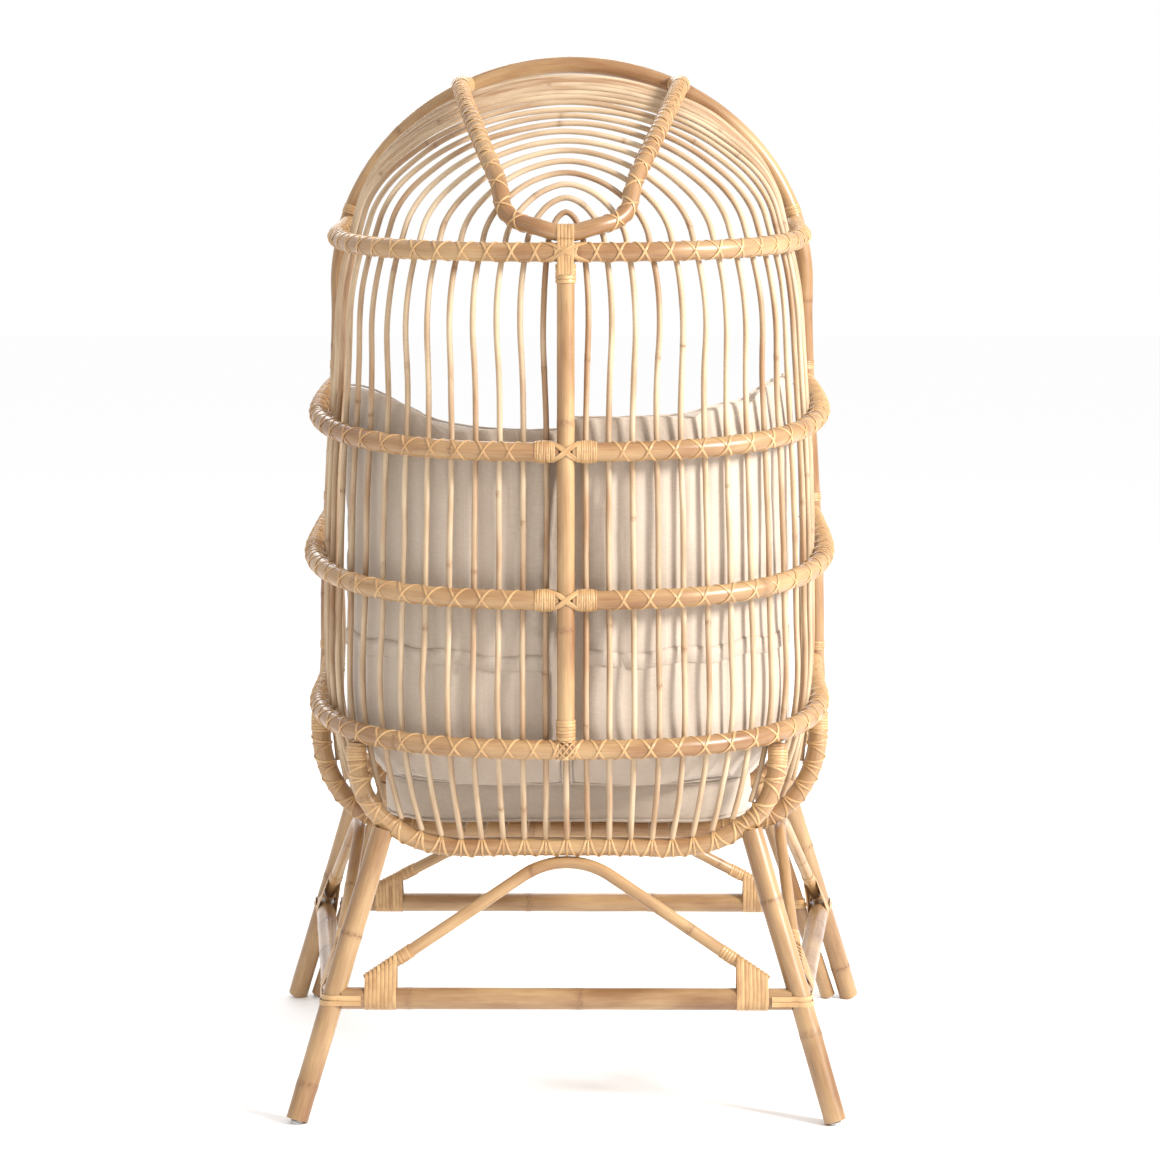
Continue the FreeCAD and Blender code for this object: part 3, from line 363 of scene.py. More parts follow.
class Skin:
    """Collects surfaces for one mesh, with the values that the materials read."""

    def __init__(self):
        self.verts, self.faces, self.grain, self.tone, self.mark, self.count = [], [], [], [], [], 0

    def add(self, verts, faces, grain, tone, mark):
        self.verts.append(verts)
        self.faces += [tuple(int(i) + self.count for i in face) for face in faces]
        self.grain.append(grain)
        self.tone.append(np.broadcast_to(tone, len(verts)))
        self.mark.append(np.broadcast_to(mark, len(verts)))
        self.count += len(verts)

    def piece(self, name, material, replaced, slot, sharp=50):
        """Make the mesh an object that stands for the CAD nodes named."""
        mesh = bpy.data.meshes.new(name)
        mesh.from_pydata((np.vstack(self.verts) / 1000).tolist(), [], self.faces)
        for label, kind, values in (("grain", "FLOAT_VECTOR", np.vstack(self.grain) / 1000),
                                    ("tone", "FLOAT", np.concatenate(self.tone)),
                                    ("mark", "FLOAT", np.concatenate(self.mark))):
            attribute = mesh.attributes.new(label, kind, "POINT")
            field = "vector" if kind == "FLOAT_VECTOR" else "value"
            attribute.data.foreach_set(field, np.asarray(values, np.float32).ravel())
        mesh.shade_smooth()
        mesh.set_sharp_from_angle(angle=math.radians(sharp))
        mesh.materials.append(material)
        item = bpy.data.objects.new(name, mesh)
        bpy.context.scene.collection.objects.link(item)
        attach(item, "chair")
        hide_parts(*replaced)


def carried_sides(line):
    """Sides of a tube's cross-sections, turned as little as possible along it."""
    tangents = line.tangents
    side = np.cross(tangents[0], UP if abs(tangents[0][2]) < 0.9 else vec(1, 0, 0))
    sides = []
    for tangent in tangents:
        side = unit(side - tangent * side.dot(tangent))
        sides.append(side)
    return np.array(sides)


def smooth_noise(s, rng, wavelength, count=5):
    """A smooth random wave along s, about -1 to 1."""
    total = np.zeros_like(s)
    for _ in range(count):
        total += np.sin(s * 2 * math.pi / (wavelength * rng.uniform(0.6, 1.8)) + rng.uniform(0, 6.28))
    return total / count


def tube(skin, line, radius, rng, sides=24, joints=(260, 430), swell=0.5, tone=0.0, wobble=0.0, hold=()):
    """A round rattan pole with the swellings and dark rings of its nodes, and cut ends."""
    s, points = line.s, line.points.copy()
    if wobble:
        free = np.ones_like(s)
        for place in list(hold) + [0, line.length]:
            free = np.minimum(free, np.clip((abs(s - place) - 8) / 60, 0, 1))
        side = carried_sides(line)
        other = np.cross(line.tangents, side)
        points += side * (wobble * free * smooth_noise(s, rng, 260))[:, None]
        points += other * (wobble * free * smooth_noise(s, rng, 230))[:, None]
    radii = radius * (1 + 0.012 * smooth_noise(s, rng, 180))
    mark = np.zeros_like(s)
    place = rng.uniform(40, joints[1])
    while place < line.length - 25:
        radii += swell * np.exp(-((s - place) / 7) ** 2) * (0.7 + 0.3 * rng.random())
        mark = np.maximum(mark, np.exp(-((s - place - 2) / 3.2) ** 2))
        place += rng.uniform(*joints)
    side = carried_sides(line)
    other = np.cross(line.tangents, side)
    angles = np.linspace(0, 2 * math.pi, sides, endpoint=False)
    around = side[:, None] * np.cos(angles)[:, None] + other[:, None] * np.sin(angles)[:, None]
    rows = points[:, None] + around * radii[:, None, None]
    start = points[0] + (rows[0] - points[0]) * 0.86 - line.tangents[0] * 0.6
    end = points[-1] + (rows[-1] - points[-1]) * 0.86 + line.tangents[-1] * 0.6
    rows = np.concatenate([start[None], rows, end[None]])
    shift = rng.uniform(0, 5000)
    along = np.r_[s[0] - 1, s, s[-1] + 1]
    grain = np.empty(rows.shape)
    grain[..., 0] = radius * np.cos(angles)
    grain[..., 1] = radius * np.sin(angles)
    grain[..., 2] = (along + shift)[:, None]
    marks = np.r_[0, mark, 0]
    add_grid(skin, rows, grain, tone, marks)
    count = skin.count - rows.shape[0] * sides
    skin.faces.append(tuple(count + i for i in reversed(range(sides))))
    skin.faces.append(tuple(skin.count - sides + i for i in range(sides)))


def add_grid(skin, rows, grain, tone, marks, closed=False):
    """Quads between successive loops of points."""
    count, sides = rows.shape[:2]
    faces = []
    last = count if closed else count - 1
    for row in range(last):
        low, high = row * sides, (row + 1) % count * sides
        for i in range(sides):
            j = (i + 1) % sides
            faces.append((low + i, low + j, high + j, high + i))
    skin.add(rows.reshape(-1, 3), faces, grain.reshape(-1, 3), tone, np.repeat(marks, sides))


CANE_THICK = 0.9
HELIX_STEPS, TURN_STEPS = 26, 28
# section of a cane strip: shares of its width and thickness
STRIP = ((-0.5, -0.15), (-0.47, 0.62), (-0.25, 0.95), (0.0, 1.0), (0.25, 0.95), (0.47, 0.62), (0.5, -0.15))


def strip(skin, points, normals, width, thick, rng, closed=False):
    """A strip of split cane laid along points, its crowned side facing the normals."""
    points, normals = np.asarray(points, float), np.asarray(normals, float)
    if closed:
        heading = np.roll(points, -1, 0) - np.roll(points, 1, 0)
    else:
        heading = np.gradient(points, axis=0)
    heading /= np.linalg.norm(heading, axis=1)[:, None]
    across = np.cross(heading, normals)
    across /= np.linalg.norm(across, axis=1)[:, None]
    up = np.cross(across, heading)
    section = np.array(STRIP)
    rows = (points[:, None] + across[:, None] * (section[:, 0] * width)[None, :, None]
            + up[:, None] * (section[:, 1] * thick)[None, :, None])
    lengths = np.r_[0, np.cumsum(np.linalg.norm(np.diff(points, axis=0), axis=1))]
    grain = np.empty(rows.shape)
    grain[..., 0] = section[:, 0] * width
    grain[..., 1] = rng.uniform(0, 400)
    grain[..., 2] = (lengths + rng.uniform(0, 5000))[:, None]
    base = skin.count
    add_grid(skin, rows, grain, rng.uniform(-1, 1), np.zeros(len(points)), closed)
    if not closed:
        skin.faces.append(tuple(base + i for i in reversed(range(len(STRIP)))))
        skin.faces.append(tuple(skin.count - len(STRIP) + i for i in range(len(STRIP))))


def hull_radius(phi, pole_r, spindle_r, spindle_gap):
    """Distance from a pole's centre to a cord round the pole and a spindle on its inner side."""
    best = np.full_like(phi, pole_r)
    for share in np.linspace(0, 1, 9):
        offset, radius = -spindle_gap * share, pole_r + (spindle_r - pole_r) * share
        cross = np.abs(offset * np.sin(phi))
        reach = offset * np.cos(phi) + np.sqrt(np.maximum(radius ** 2 - cross ** 2, 0))
        best = np.maximum(best, np.where(cross < radius, reach, 0))
    return best


def helix(skin, line, stops, pole_r, rng, hand, width, lift=0.0, spindle_gap=0.0):
    """One cane strip wound along a pole, crossing its inner side at each stop.

    A stop is (distance, tied); at a tied stop the strip also goes round the spindle there."""
    points, normals = [], []
    for (a, tied_a), (b, tied_b) in zip(stops, stops[1:]):
        span = b - a
        hug_a = min(5.5, span * 0.24) if tied_a else span * 0.2
        hug_b = min(5.5, span * 0.24) if tied_b else span * 0.2
        phi = np.linspace(-math.pi, math.pi, HELIX_STEPS, endpoint=False)
        share = np.interp(phi, (-math.pi, -math.pi / 2, math.pi / 2, math.pi), (0, 1, 2, 3))
        s = np.interp(share, (0, 1, 2, 3), (a, a + hug_a, b - hug_b, b))
        point, _, out, third = line.place(s)
        radius = np.full_like(phi, pole_r)
        for tied, side in ((tied_a, phi < 0), (tied_b, phi >= 0)):
            if tied:
                hull = hull_radius(phi, pole_r, SPINDLE_R, spindle_gap)
                radius = np.where(side, np.maximum(radius, hull), radius)
        radius = radius + 0.15 + lift * np.exp(-(np.minimum(abs(phi), math.pi - abs(phi)) / 0.45) ** 2)
        direction = out * np.cos(phi)[:, None] + third * (hand * np.sin(phi))[:, None]
        points.append(point + direction * radius[:, None])
        normals.append(direction)
    strip(skin, np.vstack(points), np.vstack(normals), width, CANE_THICK, rng)


def tight_turns(skin, line, start, count, pitch, pole_r, rng, width=None, slant=0.0, clear=0.1):
    """Cane turns side by side round a pole, each its own slightly tilted loop."""
    for turn in range(count):
        s = start + pitch * turn
        phi = np.linspace(0, 2 * math.pi, TURN_STEPS, endpoint=False)
        tilt = slant + rng.uniform(-0.3, 0.3)
        point, _, out, third = line.place(s + tilt * np.cos(phi + 0.7))
        radius = pole_r + clear + rng.uniform(0, 0.2)
        direction = out * np.cos(phi)[:, None] + third * np.sin(phi)[:, None]
        strip(skin, point + direction * radius, direction, width or pitch * 0.96, CANE_THICK, rng,
              closed=True)


def hull_band(skin, low, low_r, high, high_r, axis, width, thick, rng):
    """One cane turn round two poles that lie beside each other."""
    up = unit(high - low)
    across = unit(np.cross(axis, up))
    distance = np.linalg.norm(high - low)
    tilt = math.asin(max(-1, min(1, (low_r - high_r) / distance)))
    points, normals = [], []
    halves = (high, high_r, tilt, math.pi - tilt), (low, low_r, math.pi - tilt, 2 * math.pi + tilt)
    for centre, radius, start, stop in halves:
        for angle in np.linspace(start, stop, 12):
            normal = across * math.cos(angle) + up * math.sin(angle)
            points.append(centre + normal * (radius + 0.15))
            normals.append(normal)
    dense, sides = [], []
    for i, point in enumerate(points):
        following, next_side = points[(i + 1) % len(points)], normals[(i + 1) % len(points)]
        pieces = max(1, int(np.linalg.norm(following - point) / 6))
        for k in range(pieces):
            dense.append(point + (following - point) * k / pieces)
            sides.append(unit(normals[i] + (next_side - normals[i]) * k / pieces))
    strip(skin, dense, sides, width, thick, rng, closed=True)


# ---------------------------------------------------------------- materials

def srgb(red, green, blue):
    """A colour given in 0-255 display values, as the linear values that shaders take."""
    linear = [c / 255 / 12.92 if c < 10 else ((c / 255 + 0.055) / 1.055) ** 2.4 for c in (red, green, blue)]
    return (*linear, 1.0)


class Shader:
    """Builds one node material."""

    def __init__(self, name):
        self.material = bpy.data.materials.new(name)
        self.material.use_nodes = True
        self.tree = self.material.node_tree
        self.surface = self.tree.nodes["Principled BSDF"]

    def add(self, kind, inputs=None, **settings):
        node = self.tree.nodes.new(kind)
        for key, value in settings.items():
            setattr(node, key, value)
        for key, value in (inputs or {}).items():
            self.set(node.inputs[key], value)
        return node

    def set(self, socket, value):
        if isinstance(value, bpy.types.NodeSocket):
            self.tree.links.new(value, socket)
        else:
            socket.default_value = value

    def attribute(self, name, output="Fac"):
        return self.add("ShaderNodeAttribute", attribute_name=name).outputs[output]

    def scaled(self, vector, factors):
        return self.add("ShaderNodeVectorMath", {0: vector, 1: factors}, operation="MULTIPLY").outputs[0]

    def noise(self, vector, scale, detail=3.0, rough=0.55):
        inputs = {"Vector": vector, "Scale": scale, "Detail": detail, "Roughness": rough}
        return self.add("ShaderNodeTexNoise", inputs).outputs[0]

    def math(self, operation, a, b, clamp=False):
        return self.add("ShaderNodeMath", {0: a, 1: b}, operation=operation, use_clamp=clamp).outputs[0]

    def total(self, first, *others, clamp=False):
        """Sum of values; the last step may be held between 0 and 1."""
        for index, value in enumerate(others, start=1):
            first = self.math("ADD", first, value, clamp=clamp and index == len(others))
        return first

    def times(self, a, b):
        return self.math("MULTIPLY", a, b)

    def span(self, value, low, high, to_low=0.0, to_high=1.0):
        """The value moved from one range to another, and held at its ends."""
        inputs = {"Value": value, "From Min": low, "From Max": high, "To Min": to_low, "To Max": to_high}
        return self.add("ShaderNodeMapRange", inputs).outputs[0]

    def mix(self, share, a, b):
        return self.add("ShaderNodeMix", {0: share, 6: a, 7: b}, data_type="RGBA").outputs[2]

    def bump(self, height, strength, distance):
        inputs = {"Height": height, "Strength": strength, "Distance": distance}
        return self.add("ShaderNodeBump", inputs).outputs[0]

    def finish(self, **values):
        for key, value in values.items():
            self.set(self.surface.inputs[key.replace("_", " ")], value)
        return self.material


def rattan(name, light, dark, brown, rough, fleck, contrast=1.0, coat=0.25):
    """Rattan pole: long fibres, slow colour change, dark flecks and dark rings at the nodes."""
    shader = Shader(name)
    grain = shader.attribute("grain", "Vector")
    tone, mark = shader.attribute("tone"), shader.attribute("mark")
    fibre = shader.noise(shader.scaled(grain, (1, 1, 0.035)), 620, 4, 0.6)
    broad = shader.noise(shader.scaled(grain, (1, 1, 0.22)), 34, 3)
    patch = shader.noise(shader.scaled(grain, (1, 1, 0.5)), 9, 2)
    depth = shader.total(shader.span(broad, 0.32, 0.7, -0.35, 0.42),
                         shader.span(patch, 0.35, 0.65, -0.25, 0.3), shader.span(fibre, 0.3, 0.7, -0.16, 0.2))
    depth = shader.total(shader.times(depth, contrast), shader.times(tone, 0.3), 0.42, clamp=True)
    colour = shader.mix(depth, light, dark)
    flecks = shader.noise(shader.scaled(grain, (1, 1, 0.06)), 260, 2, 0.5)
    spots = shader.noise(shader.scaled(grain, (1, 1, 0.4)), 22, 1)
    fleck_share = shader.times(shader.span(flecks, 0.66, 0.74), shader.span(spots, 0.5, 0.62))
    colour = shader.mix(shader.times(fleck_share, fleck), colour, brown)
    ragged = shader.noise(grain, 240, 2)
    ring = shader.times(mark, shader.span(ragged, 0.35, 0.62, 0.1, 0.8))
    colour = shader.mix(ring, colour, brown)
    height = shader.total(shader.times(fibre, 0.6), shader.times(ring, -1.2))
    normal = shader.bump(height, 0.35, 0.0006)
    gloss = shader.total(shader.span(fibre, 0.3, 0.7, rough - 0.05, rough + 0.1), shader.times(ring, 0.2))
    return shader.finish(Base_Color=colour, Roughness=gloss, Normal=normal, Coat_Weight=coat,
                         Coat_Roughness=0.28, Specular_IOR_Level=0.45)


def cane(name, light, dark):
    """Split cane: a glossy golden strip with fine lengthwise fibres."""
    shader = Shader(name)
    grain, tone = shader.attribute("grain", "Vector"), shader.attribute("tone")
    fibre = shader.noise(shader.scaled(grain, (1, 1, 0.02)), 1900, 3, 0.6)
    broad = shader.noise(shader.scaled(grain, (0.2, 0.2, 1)), 28, 3)
    depth = shader.total(shader.span(fibre, 0.3, 0.7, -0.25, 0.3), shader.span(broad, 0.3, 0.7, -0.3, 0.35),
                         shader.times(tone, 0.2), 0.42, clamp=True)
    colour = shader.mix(depth, light, dark)
    normal = shader.bump(fibre, 0.3, 0.0003)
    return shader.finish(Base_Color=colour, Roughness=shader.span(fibre, 0.3, 0.7, 0.36, 0.5), Normal=normal,
                         Coat_Weight=0.2, Coat_Roughness=0.25)


def cotton(name, light, dark):
    """Plain woven cotton: crossed threads, slubs and faint unevenness."""
    shader = Shader(name)
    rest = shader.add("ShaderNodeTexCoord").outputs["Object"]
    threads = []
    for axis in "XYZ":
        inputs = {"Vector": rest, "Scale": 190.0, "Distortion": 1.2, "Detail": 2.0, "Detail Scale": 2.0}
        threads.append(shader.add("ShaderNodeTexWave", inputs, bands_direction=axis).outputs[1])
    weave = shader.times(shader.total(*threads), 0.33)
    slub = shader.noise(shader.scaled(rest, (0.25, 0.25, 1)), 520, 3)
    cloud = shader.noise(rest, 7, 3)
    depth = shader.total(shader.span(cloud, 0.3, 0.7, 0.1, 0.55), shader.span(slub, 0.3, 0.7, -0.12, 0.16),
                         shader.span(weave, 0.2, 0.8, 0.12, -0.12), clamp=True)
    colour = shader.mix(depth, light, dark)
    height = shader.total(weave, shader.times(slub, 0.8))
    return shader.finish(Base_Color=colour, Roughness=0.92, Normal=shader.bump(height, 0.35, 0.0005),
                         Sheen_Weight=0.35, Sheen_Roughness=0.5, Specular_IOR_Level=0.25)


def worn_plastic(name, colour, dark):
    """Moulded glide: matte, with scuffs underneath."""
    shader = Shader(name)
    place = shader.add("ShaderNodeTexCoord").outputs["Object"]
    scuff = shader.noise(place, 420, 4, 0.7)
    return shader.finish(Base_Color=shader.mix(shader.span(scuff, 0.45, 0.75, 0, 0.6), colour, dark),
                         Roughness=shader.span(scuff, 0.3, 0.7, 0.5, 0.75),
                         Normal=shader.bump(scuff, 0.2, 0.0003))


def zinc(name, colour, dark):
    """Plated screw: fine turning marks."""
    shader = Shader(name)
    place = shader.add("ShaderNodeTexCoord").outputs["Object"]
    marks = shader.noise(shader.scaled(place, (1, 1, 12)), 900, 3)
    return shader.finish(Base_Color=shader.mix(shader.span(marks, 0.35, 0.65, 0, 0.5), colour, dark),
                         Metallic=1.0, Roughness=shader.span(marks, 0.3, 0.7, 0.3, 0.5))


BROWN = srgb(96, 58, 30)
POLE = rattan("rattan_pole", srgb(178, 144, 101), srgb(131, 91, 55), BROWN, 0.36, fleck=0.35)
LEG = rattan("rattan_leg", srgb(174, 141, 100), srgb(126, 89, 56), BROWN, 0.3, fleck=0.5)
SPINDLE = rattan("rattan_spindle", srgb(196, 173, 142), srgb(152, 117, 84), srgb(112, 72, 42), 0.5,
                 fleck=0.25, contrast=1.1, coat=0.05)
CANE = cane("cane_strip", srgb(200, 163, 113), srgb(154, 112, 70))
FABRIC = cotton("cushion_cotton", srgb(192, 177, 161), srgb(166, 149, 131))
GLIDE = worn_plastic("glide_plastic", srgb(190, 190, 190), srgb(130, 130, 130))
ZINC = zinc("screw_zinc", srgb(196, 196, 192), srgb(120, 118, 112))


# ---------------------------------------------------------------- poles

def pole_piece(name, line, radius, material=POLE, slot="rattan_pole", **options):
    """One pole that stands for the CAD node of its name; the name also seeds its random draws."""
    skin = Skin()
    rng = np.random.default_rng(sum(ord(letter) * (i + 1) for i, letter in enumerate(name)))
    tube(skin, line, radius, rng, tone=options.pop("tone", rng.uniform(-0.5, 0.5)), **options)
    skin.piece(name + "_cane_pole", material, [name], slot)


def make_hoop():
    left = hoop_stations()
    points = left + [at(0, HOOP_TOP_DEPTH, HOOP_TOP)] + flip(left)[::-1]
    pole_piece("front_hoop", Line(bent(points)), HOOP_R, sides=28, joints=(330, 520), tone=0.25)


def ring_line(ring):
    """Left half of a ring's pole, ending at the back of the hoop."""
    stop = 1 - (HOOP_R + RING_END_CLEAR) / ring.length
    shares = (0.0, 0.1, 0.22, 0.34, 0.42, 0.5, 0.6, 0.72, 0.86, 1.0)
    return [ring.centre(stop * share) for share in shares]


def make_rings():
    for number in (1, 4):
        left = ring_line(RINGS[number - 1])
        pole_piece("ring_%d" % number, Line(both(left)), RING_R, tone=0.1)
    for number in (2, 3):
        ring = RINGS[number - 1]
        start, stop = (PILLAR_R - 2) / ring.length, 1 - (HOOP_R + RING_END_CLEAR) / ring.length
        left = [ring.centre(start + (stop - start) * share) for share in np.linspace(0, 1, 10)]
        pole_piece("ring_%d_left" % number, Line(bent(left)), RING_R)
        pole_piece("ring_%d_right" % number, Line(bent(flip(left))), RING_R)


def make_pillars():
    top = at(0, 0, RING_SIZES[0][1] - RING_R + 2)
    bottom = at(0, 0, RING_SIZES[3][1] + RING_R - 2)
    pole_piece("centre_back_pole", Line(straight(bottom, top)), PILLAR_R, joints=(240, 330), tone=-0.1)
    heights = (RING_SIZES[0][1] + RING_R, 923.0, 722.0, 558.0, 518.0)
    rail = [at(0, INSET + 0.8, z) for z in heights]
    foot = vec(0, BACK - BACK_CRADLE_DEPTH, BACK_CRADLE_Z)
    rail.append(landing(foot, vec(1, 0, 0), BACK_CRADLE_R, rail[-1]))
    pole_piece("centre_spindle", Line(bent(rail)), SPINDLE_R, SPINDLE, "thin_rattan", sides=14, swell=0.25,
               joints=(380, 600))


def make_arches():
    for number in range(1, ARCHES + 1):
        left = arch_left(number)
        ridge = hood_point(arch_fraction(number), math.pi / 2)
        line = Line(bent(left + [ridge] + flip(left)[::-1]))
        hold = [line.nearest(p) for p in left[:5]] + [line.nearest(p) for p in flip(left[:5])]
        rng = np.random.default_rng(1000 + number)
        tone = rng.choice((-0.9, -0.7, -0.5, -0.3, 0.0, 0.5, 1.1))
        pole_piece("arch_spindle_%02d" % number, line, SPINDLE_R, SPINDLE, "thin_rattan", sides=14,
                   swell=0.25, joints=(380, 620), tone=tone, wobble=1.3, hold=hold)


def make_cradles():
    pole_piece("back_cradle_pole", Line(both(BACK_CRADLE)), BACK_CRADLE_R, tone=0.0)
    pole_piece("mid_cradle_pole", Line(both(MID_CRADLE)), MID_CRADLE_R, tone=0.2)


def make_slats():
    skin = Skin()
    rng = np.random.default_rng(77)
    z = BACK_CRADLE_Z + BACK_CRADLE_R + GAP + SLAT_R
    for number in range(-5, 6):
        x = BACK_LEFT.place(BACK_PITCH * abs(number))[0][0][0] * (1 if number > 0 else -1)
        line = Line(straight(at(x, BACK_CRADLE_DEPTH + 6, z), at(x, HOOP_BOTTOM_DEPTH, z)))
        tube(skin, line, SLAT_R, rng, sides=14, swell=0.25, tone=rng.uniform(-1, 1))
    skin.piece("seat_slat_rods", SPINDLE, ["seat_slats"], "thin_rattan")


def side_of(point, side):
    return vec(point[0] * side, point[1], point[2])


def leg_lines():
    """Foot and top of each left leg's axis, and its radius."""
    cradle_point = BACK_LEFT.place(BACK_LEG_TOP)[0][0]
    front, inner = at(FRONT_FOOT_X, FRONT_FOOT_DEPTH, 0), at(INNER_FOOT_X, FRONT_FOOT_DEPTH, 0)
    lines = {"back_leg": (at(BACK_FOOT_X, 0, 0), cradle_point, LEG_R),
             "front_leg": (front, hoop_point(FRONT_LEG_TOP_Z), LEG_R),
             "inner_front_leg": (inner, hoop_point(INNER_LEG_TOP_Z), INNER_LEG_R)}
    return {name: (foot, top - unit(top - foot) * 5.0, radius) for name, (foot, top, radius) in lines.items()}


LEGS = leg_lines()


def leg_axis(name, z):
    foot, top, _ = LEGS[name]
    return foot + (top - foot) * ((z - foot[2]) / (top[2] - foot[2]))


STRETCHERS = {"back": ("back_leg", 1, "back_leg", -1), "front": ("inner_front_leg", 1, "inner_front_leg", -1),
              "left": ("back_leg", 1, "front_leg", 1), "right": ("back_leg", -1, "front_leg", -1)}


def make_legs():
    for name, (foot, top, radius) in LEGS.items():
        short = radius - 2.0
        for side, word in ((1, "left"), (-1, "right")):
            start, end = leg_axis(name, GLIDE_HEIGHT), top - unit(top - foot) * short * 0.55
            line = Line(straight(side_of(start, side), side_of(end, side)))
            pole_piece("%s_%s" % (name, word), line, radius, LEG, sides=28, joints=(150, 230), swell=0.6,
                       wobble=0.6)


def stretcher_ends(name):
    leg_a, side_a, leg_b, side_b = STRETCHERS[name]
    return side_of(leg_axis(leg_a, STRETCHER_Z), side_a), side_of(leg_axis(leg_b, STRETCHER_Z), side_b)


def brace_line(name):
    """A brace bent up from one end of a stretcher to under the basket and down again."""
    start, end = stretcher_ends(name)
    heading, middle = unit(end - start), (start + end) / 2
    if name == "back":
        apex = at(0, BACK_CRADLE_DEPTH, BACK_CRADLE_Z - BACK_CRADLE_R - GAP - BRACE_R)
    elif name == "front":
        apex = at(0, HOOP_BOTTOM_DEPTH, HOOP_BOTTOM - HOOP_R - GAP - BRACE_R)
    else:
        corner = MID_LEFT.place(SIDE_BRACE_TOP)[0][0]
        apex = corner + unit(vec(0.35, 0, -0.94)) * (MID_CRADLE_R + GAP + LANDING_CLEAR + BRACE_R)
        apex[1] = (leg_axis("back_leg", STRETCHER_Z)[1] + leg_axis("front_leg", STRETCHER_Z)[1]) / 2
        apex = side_of(apex, 1 if name == "left" else -1)
    lean = apex - middle
    up = unit(lean - heading * lean.dot(heading))
    lift = STRETCHER_R + GAP + BRACE_R
    foot_a, foot_b = start + heading * BRACE_INSET + up * lift, end - heading * BRACE_INSET + up * lift
    apex = middle + up * lean.dot(up)
    radius, half, rise = BRACE_BEND_R, np.linalg.norm(foot_b - foot_a) / 2, (apex - foot_a).dot(up)
    slope = math.atan2(rise, half)
    for _ in range(20):
        slope = math.atan2(rise + radius * (1 / math.cos(slope) - 1), half)
    corner = apex + up * (radius * (1 / math.cos(slope) - 1))
    reach = radius * math.tan(slope)
    bend_a, bend_b = corner + unit(foot_a - corner) * reach, corner + unit(foot_b - corner) * reach
    bend = arc_points(bend_a, corner, bend_b)
    path = np.vstack([straight(foot_a, bend_a), bend[1:], straight(bend_b, foot_b)[1:]])
    return Line(path), foot_a, bend_a, bend_b, foot_b


def make_stretchers():
    for name, (leg_a, _, leg_b, _) in STRETCHERS.items():
        start, end = stretcher_ends(name)
        heading = unit(end - start)
        line = Line(straight(start + heading * (LEGS[leg_a][2] - 3), end - heading * (LEGS[leg_b][2] - 3)))
        pole_piece(name + "_stretcher", line, STRETCHER_R, LEG, sides=28, joints=(180, 300))
        pole_piece(name + "_brace", brace_line(name)[0], BRACE_R, sides=20, joints=(200, 320), swell=0.35,
                   tone=-0.4)


# ---------------------------------------------------------------- cane lashing

def whole_ring(ring):
    """A ring's centreline from the right front round the back to the left front."""
    return Line(np.vstack([np.array(flip(ring.curve))[::-1], ring.curve[1:]]), outward=ring_outward)


def jittered(stops, rng):
    """The stops with the free ones moved a little, as a hand would leave them."""
    return [(s + (0 if tied else rng.uniform(-1.0, 1.0)), tied) for s, tied in stops]


def both_hands(skin, line, stops, pole_r, rng, **options):
    """Two strips wound in opposite directions; where stops are tied, the second keeps to those."""
    options.setdefault("width", 3.3)
    helix(skin, line, jittered(stops, rng), pole_r, rng, hand=1, **options)
    crossed = [stop for stop in stops if stop[1]] or stops
    helix(skin, line, jittered(crossed, rng), pole_r, rng, hand=-1, lift=0.85, **options)


DENSE_FROM = 13  # from this spindle on, rings are wound closely


def ring_stops(ring, sign, first):
    """Crossing places on one half of a ring, with extra turns near the hoop."""
    middle = ring.length
    places = [arch_fraction(number) * ring.length for number in range(first, ARCHES + 1)]
    stops = []
    for index, (a, b) in enumerate(zip(places, places[1:] + [ring.length - HOOP_R - 4])):
        stops.append((a, True))
        if index + first >= DENSE_FROM:
            parts = 3 if index + first == DENSE_FROM else 5
            stops += [(a + (b - a) * part / parts, False) for part in range(1, parts)]
    stops.append((ring.length - HOOP_R - 3, False))
    stops = [(middle + sign * s, tied) for s, tied in stops]
    return stops if sign > 0 else stops[::-1]


def crossing(skin, z, half, rng, offset, width, over, rise=1.0):
    """A strip laid diagonally over the middle of a ring, in front of the back pole."""
    x = np.linspace(-half, half, 25) + offset
    phi = np.linspace(-1.25, 1.25, 25) * rise
    y = np.maximum(RING_R * np.cos(phi), np.sqrt(np.maximum(PILLAR_R ** 2 - (x * 0.98) ** 2, 0)) * 0.96)
    bulge = over * np.exp(-(x / 14) ** 2)
    points = np.stack([x, BACK + y + 0.4 + bulge, z + RING_R * np.sin(phi)], 1)
    normals = np.stack([x * 0.01, np.cos(phi), np.sin(phi)], 1)
    strip(skin, points, normals, width, 0.95, rng)


def joint_wrap(skin, ring, line, sign, rng, turns=9):
    """A crowned band where half a middle ring starts beside the back pole, over the first spindle too."""
    start = ring.length + sign * (PILLAR_R + 4.0)
    phi = np.linspace(0, 2 * math.pi, 30, endpoint=False)
    for turn in range(turns):
        s = start + sign * 3.05 * turn
        radius = np.full_like(phi, RING_R)
        if abs(abs(s - ring.length) - arch_fraction(1) * ring.length) < 6:
            radius = hull_radius((phi + math.pi) % (2 * math.pi) - math.pi, RING_R, SPINDLE_R, INSET)
        radius = radius + 0.2 + 1.5 * math.sin(math.pi * (turn + 0.5) / turns) + rng.uniform(0, 0.25)
        point, _, out, third = line.place(s + rng.uniform(-0.4, 0.4) * np.cos(phi + 1))
        direction = out * np.cos(phi)[:, None] + third * np.sin(phi)[:, None]
        strip(skin, point + direction * radius[:, None], direction, 3.0, 1.0, rng, closed=True)


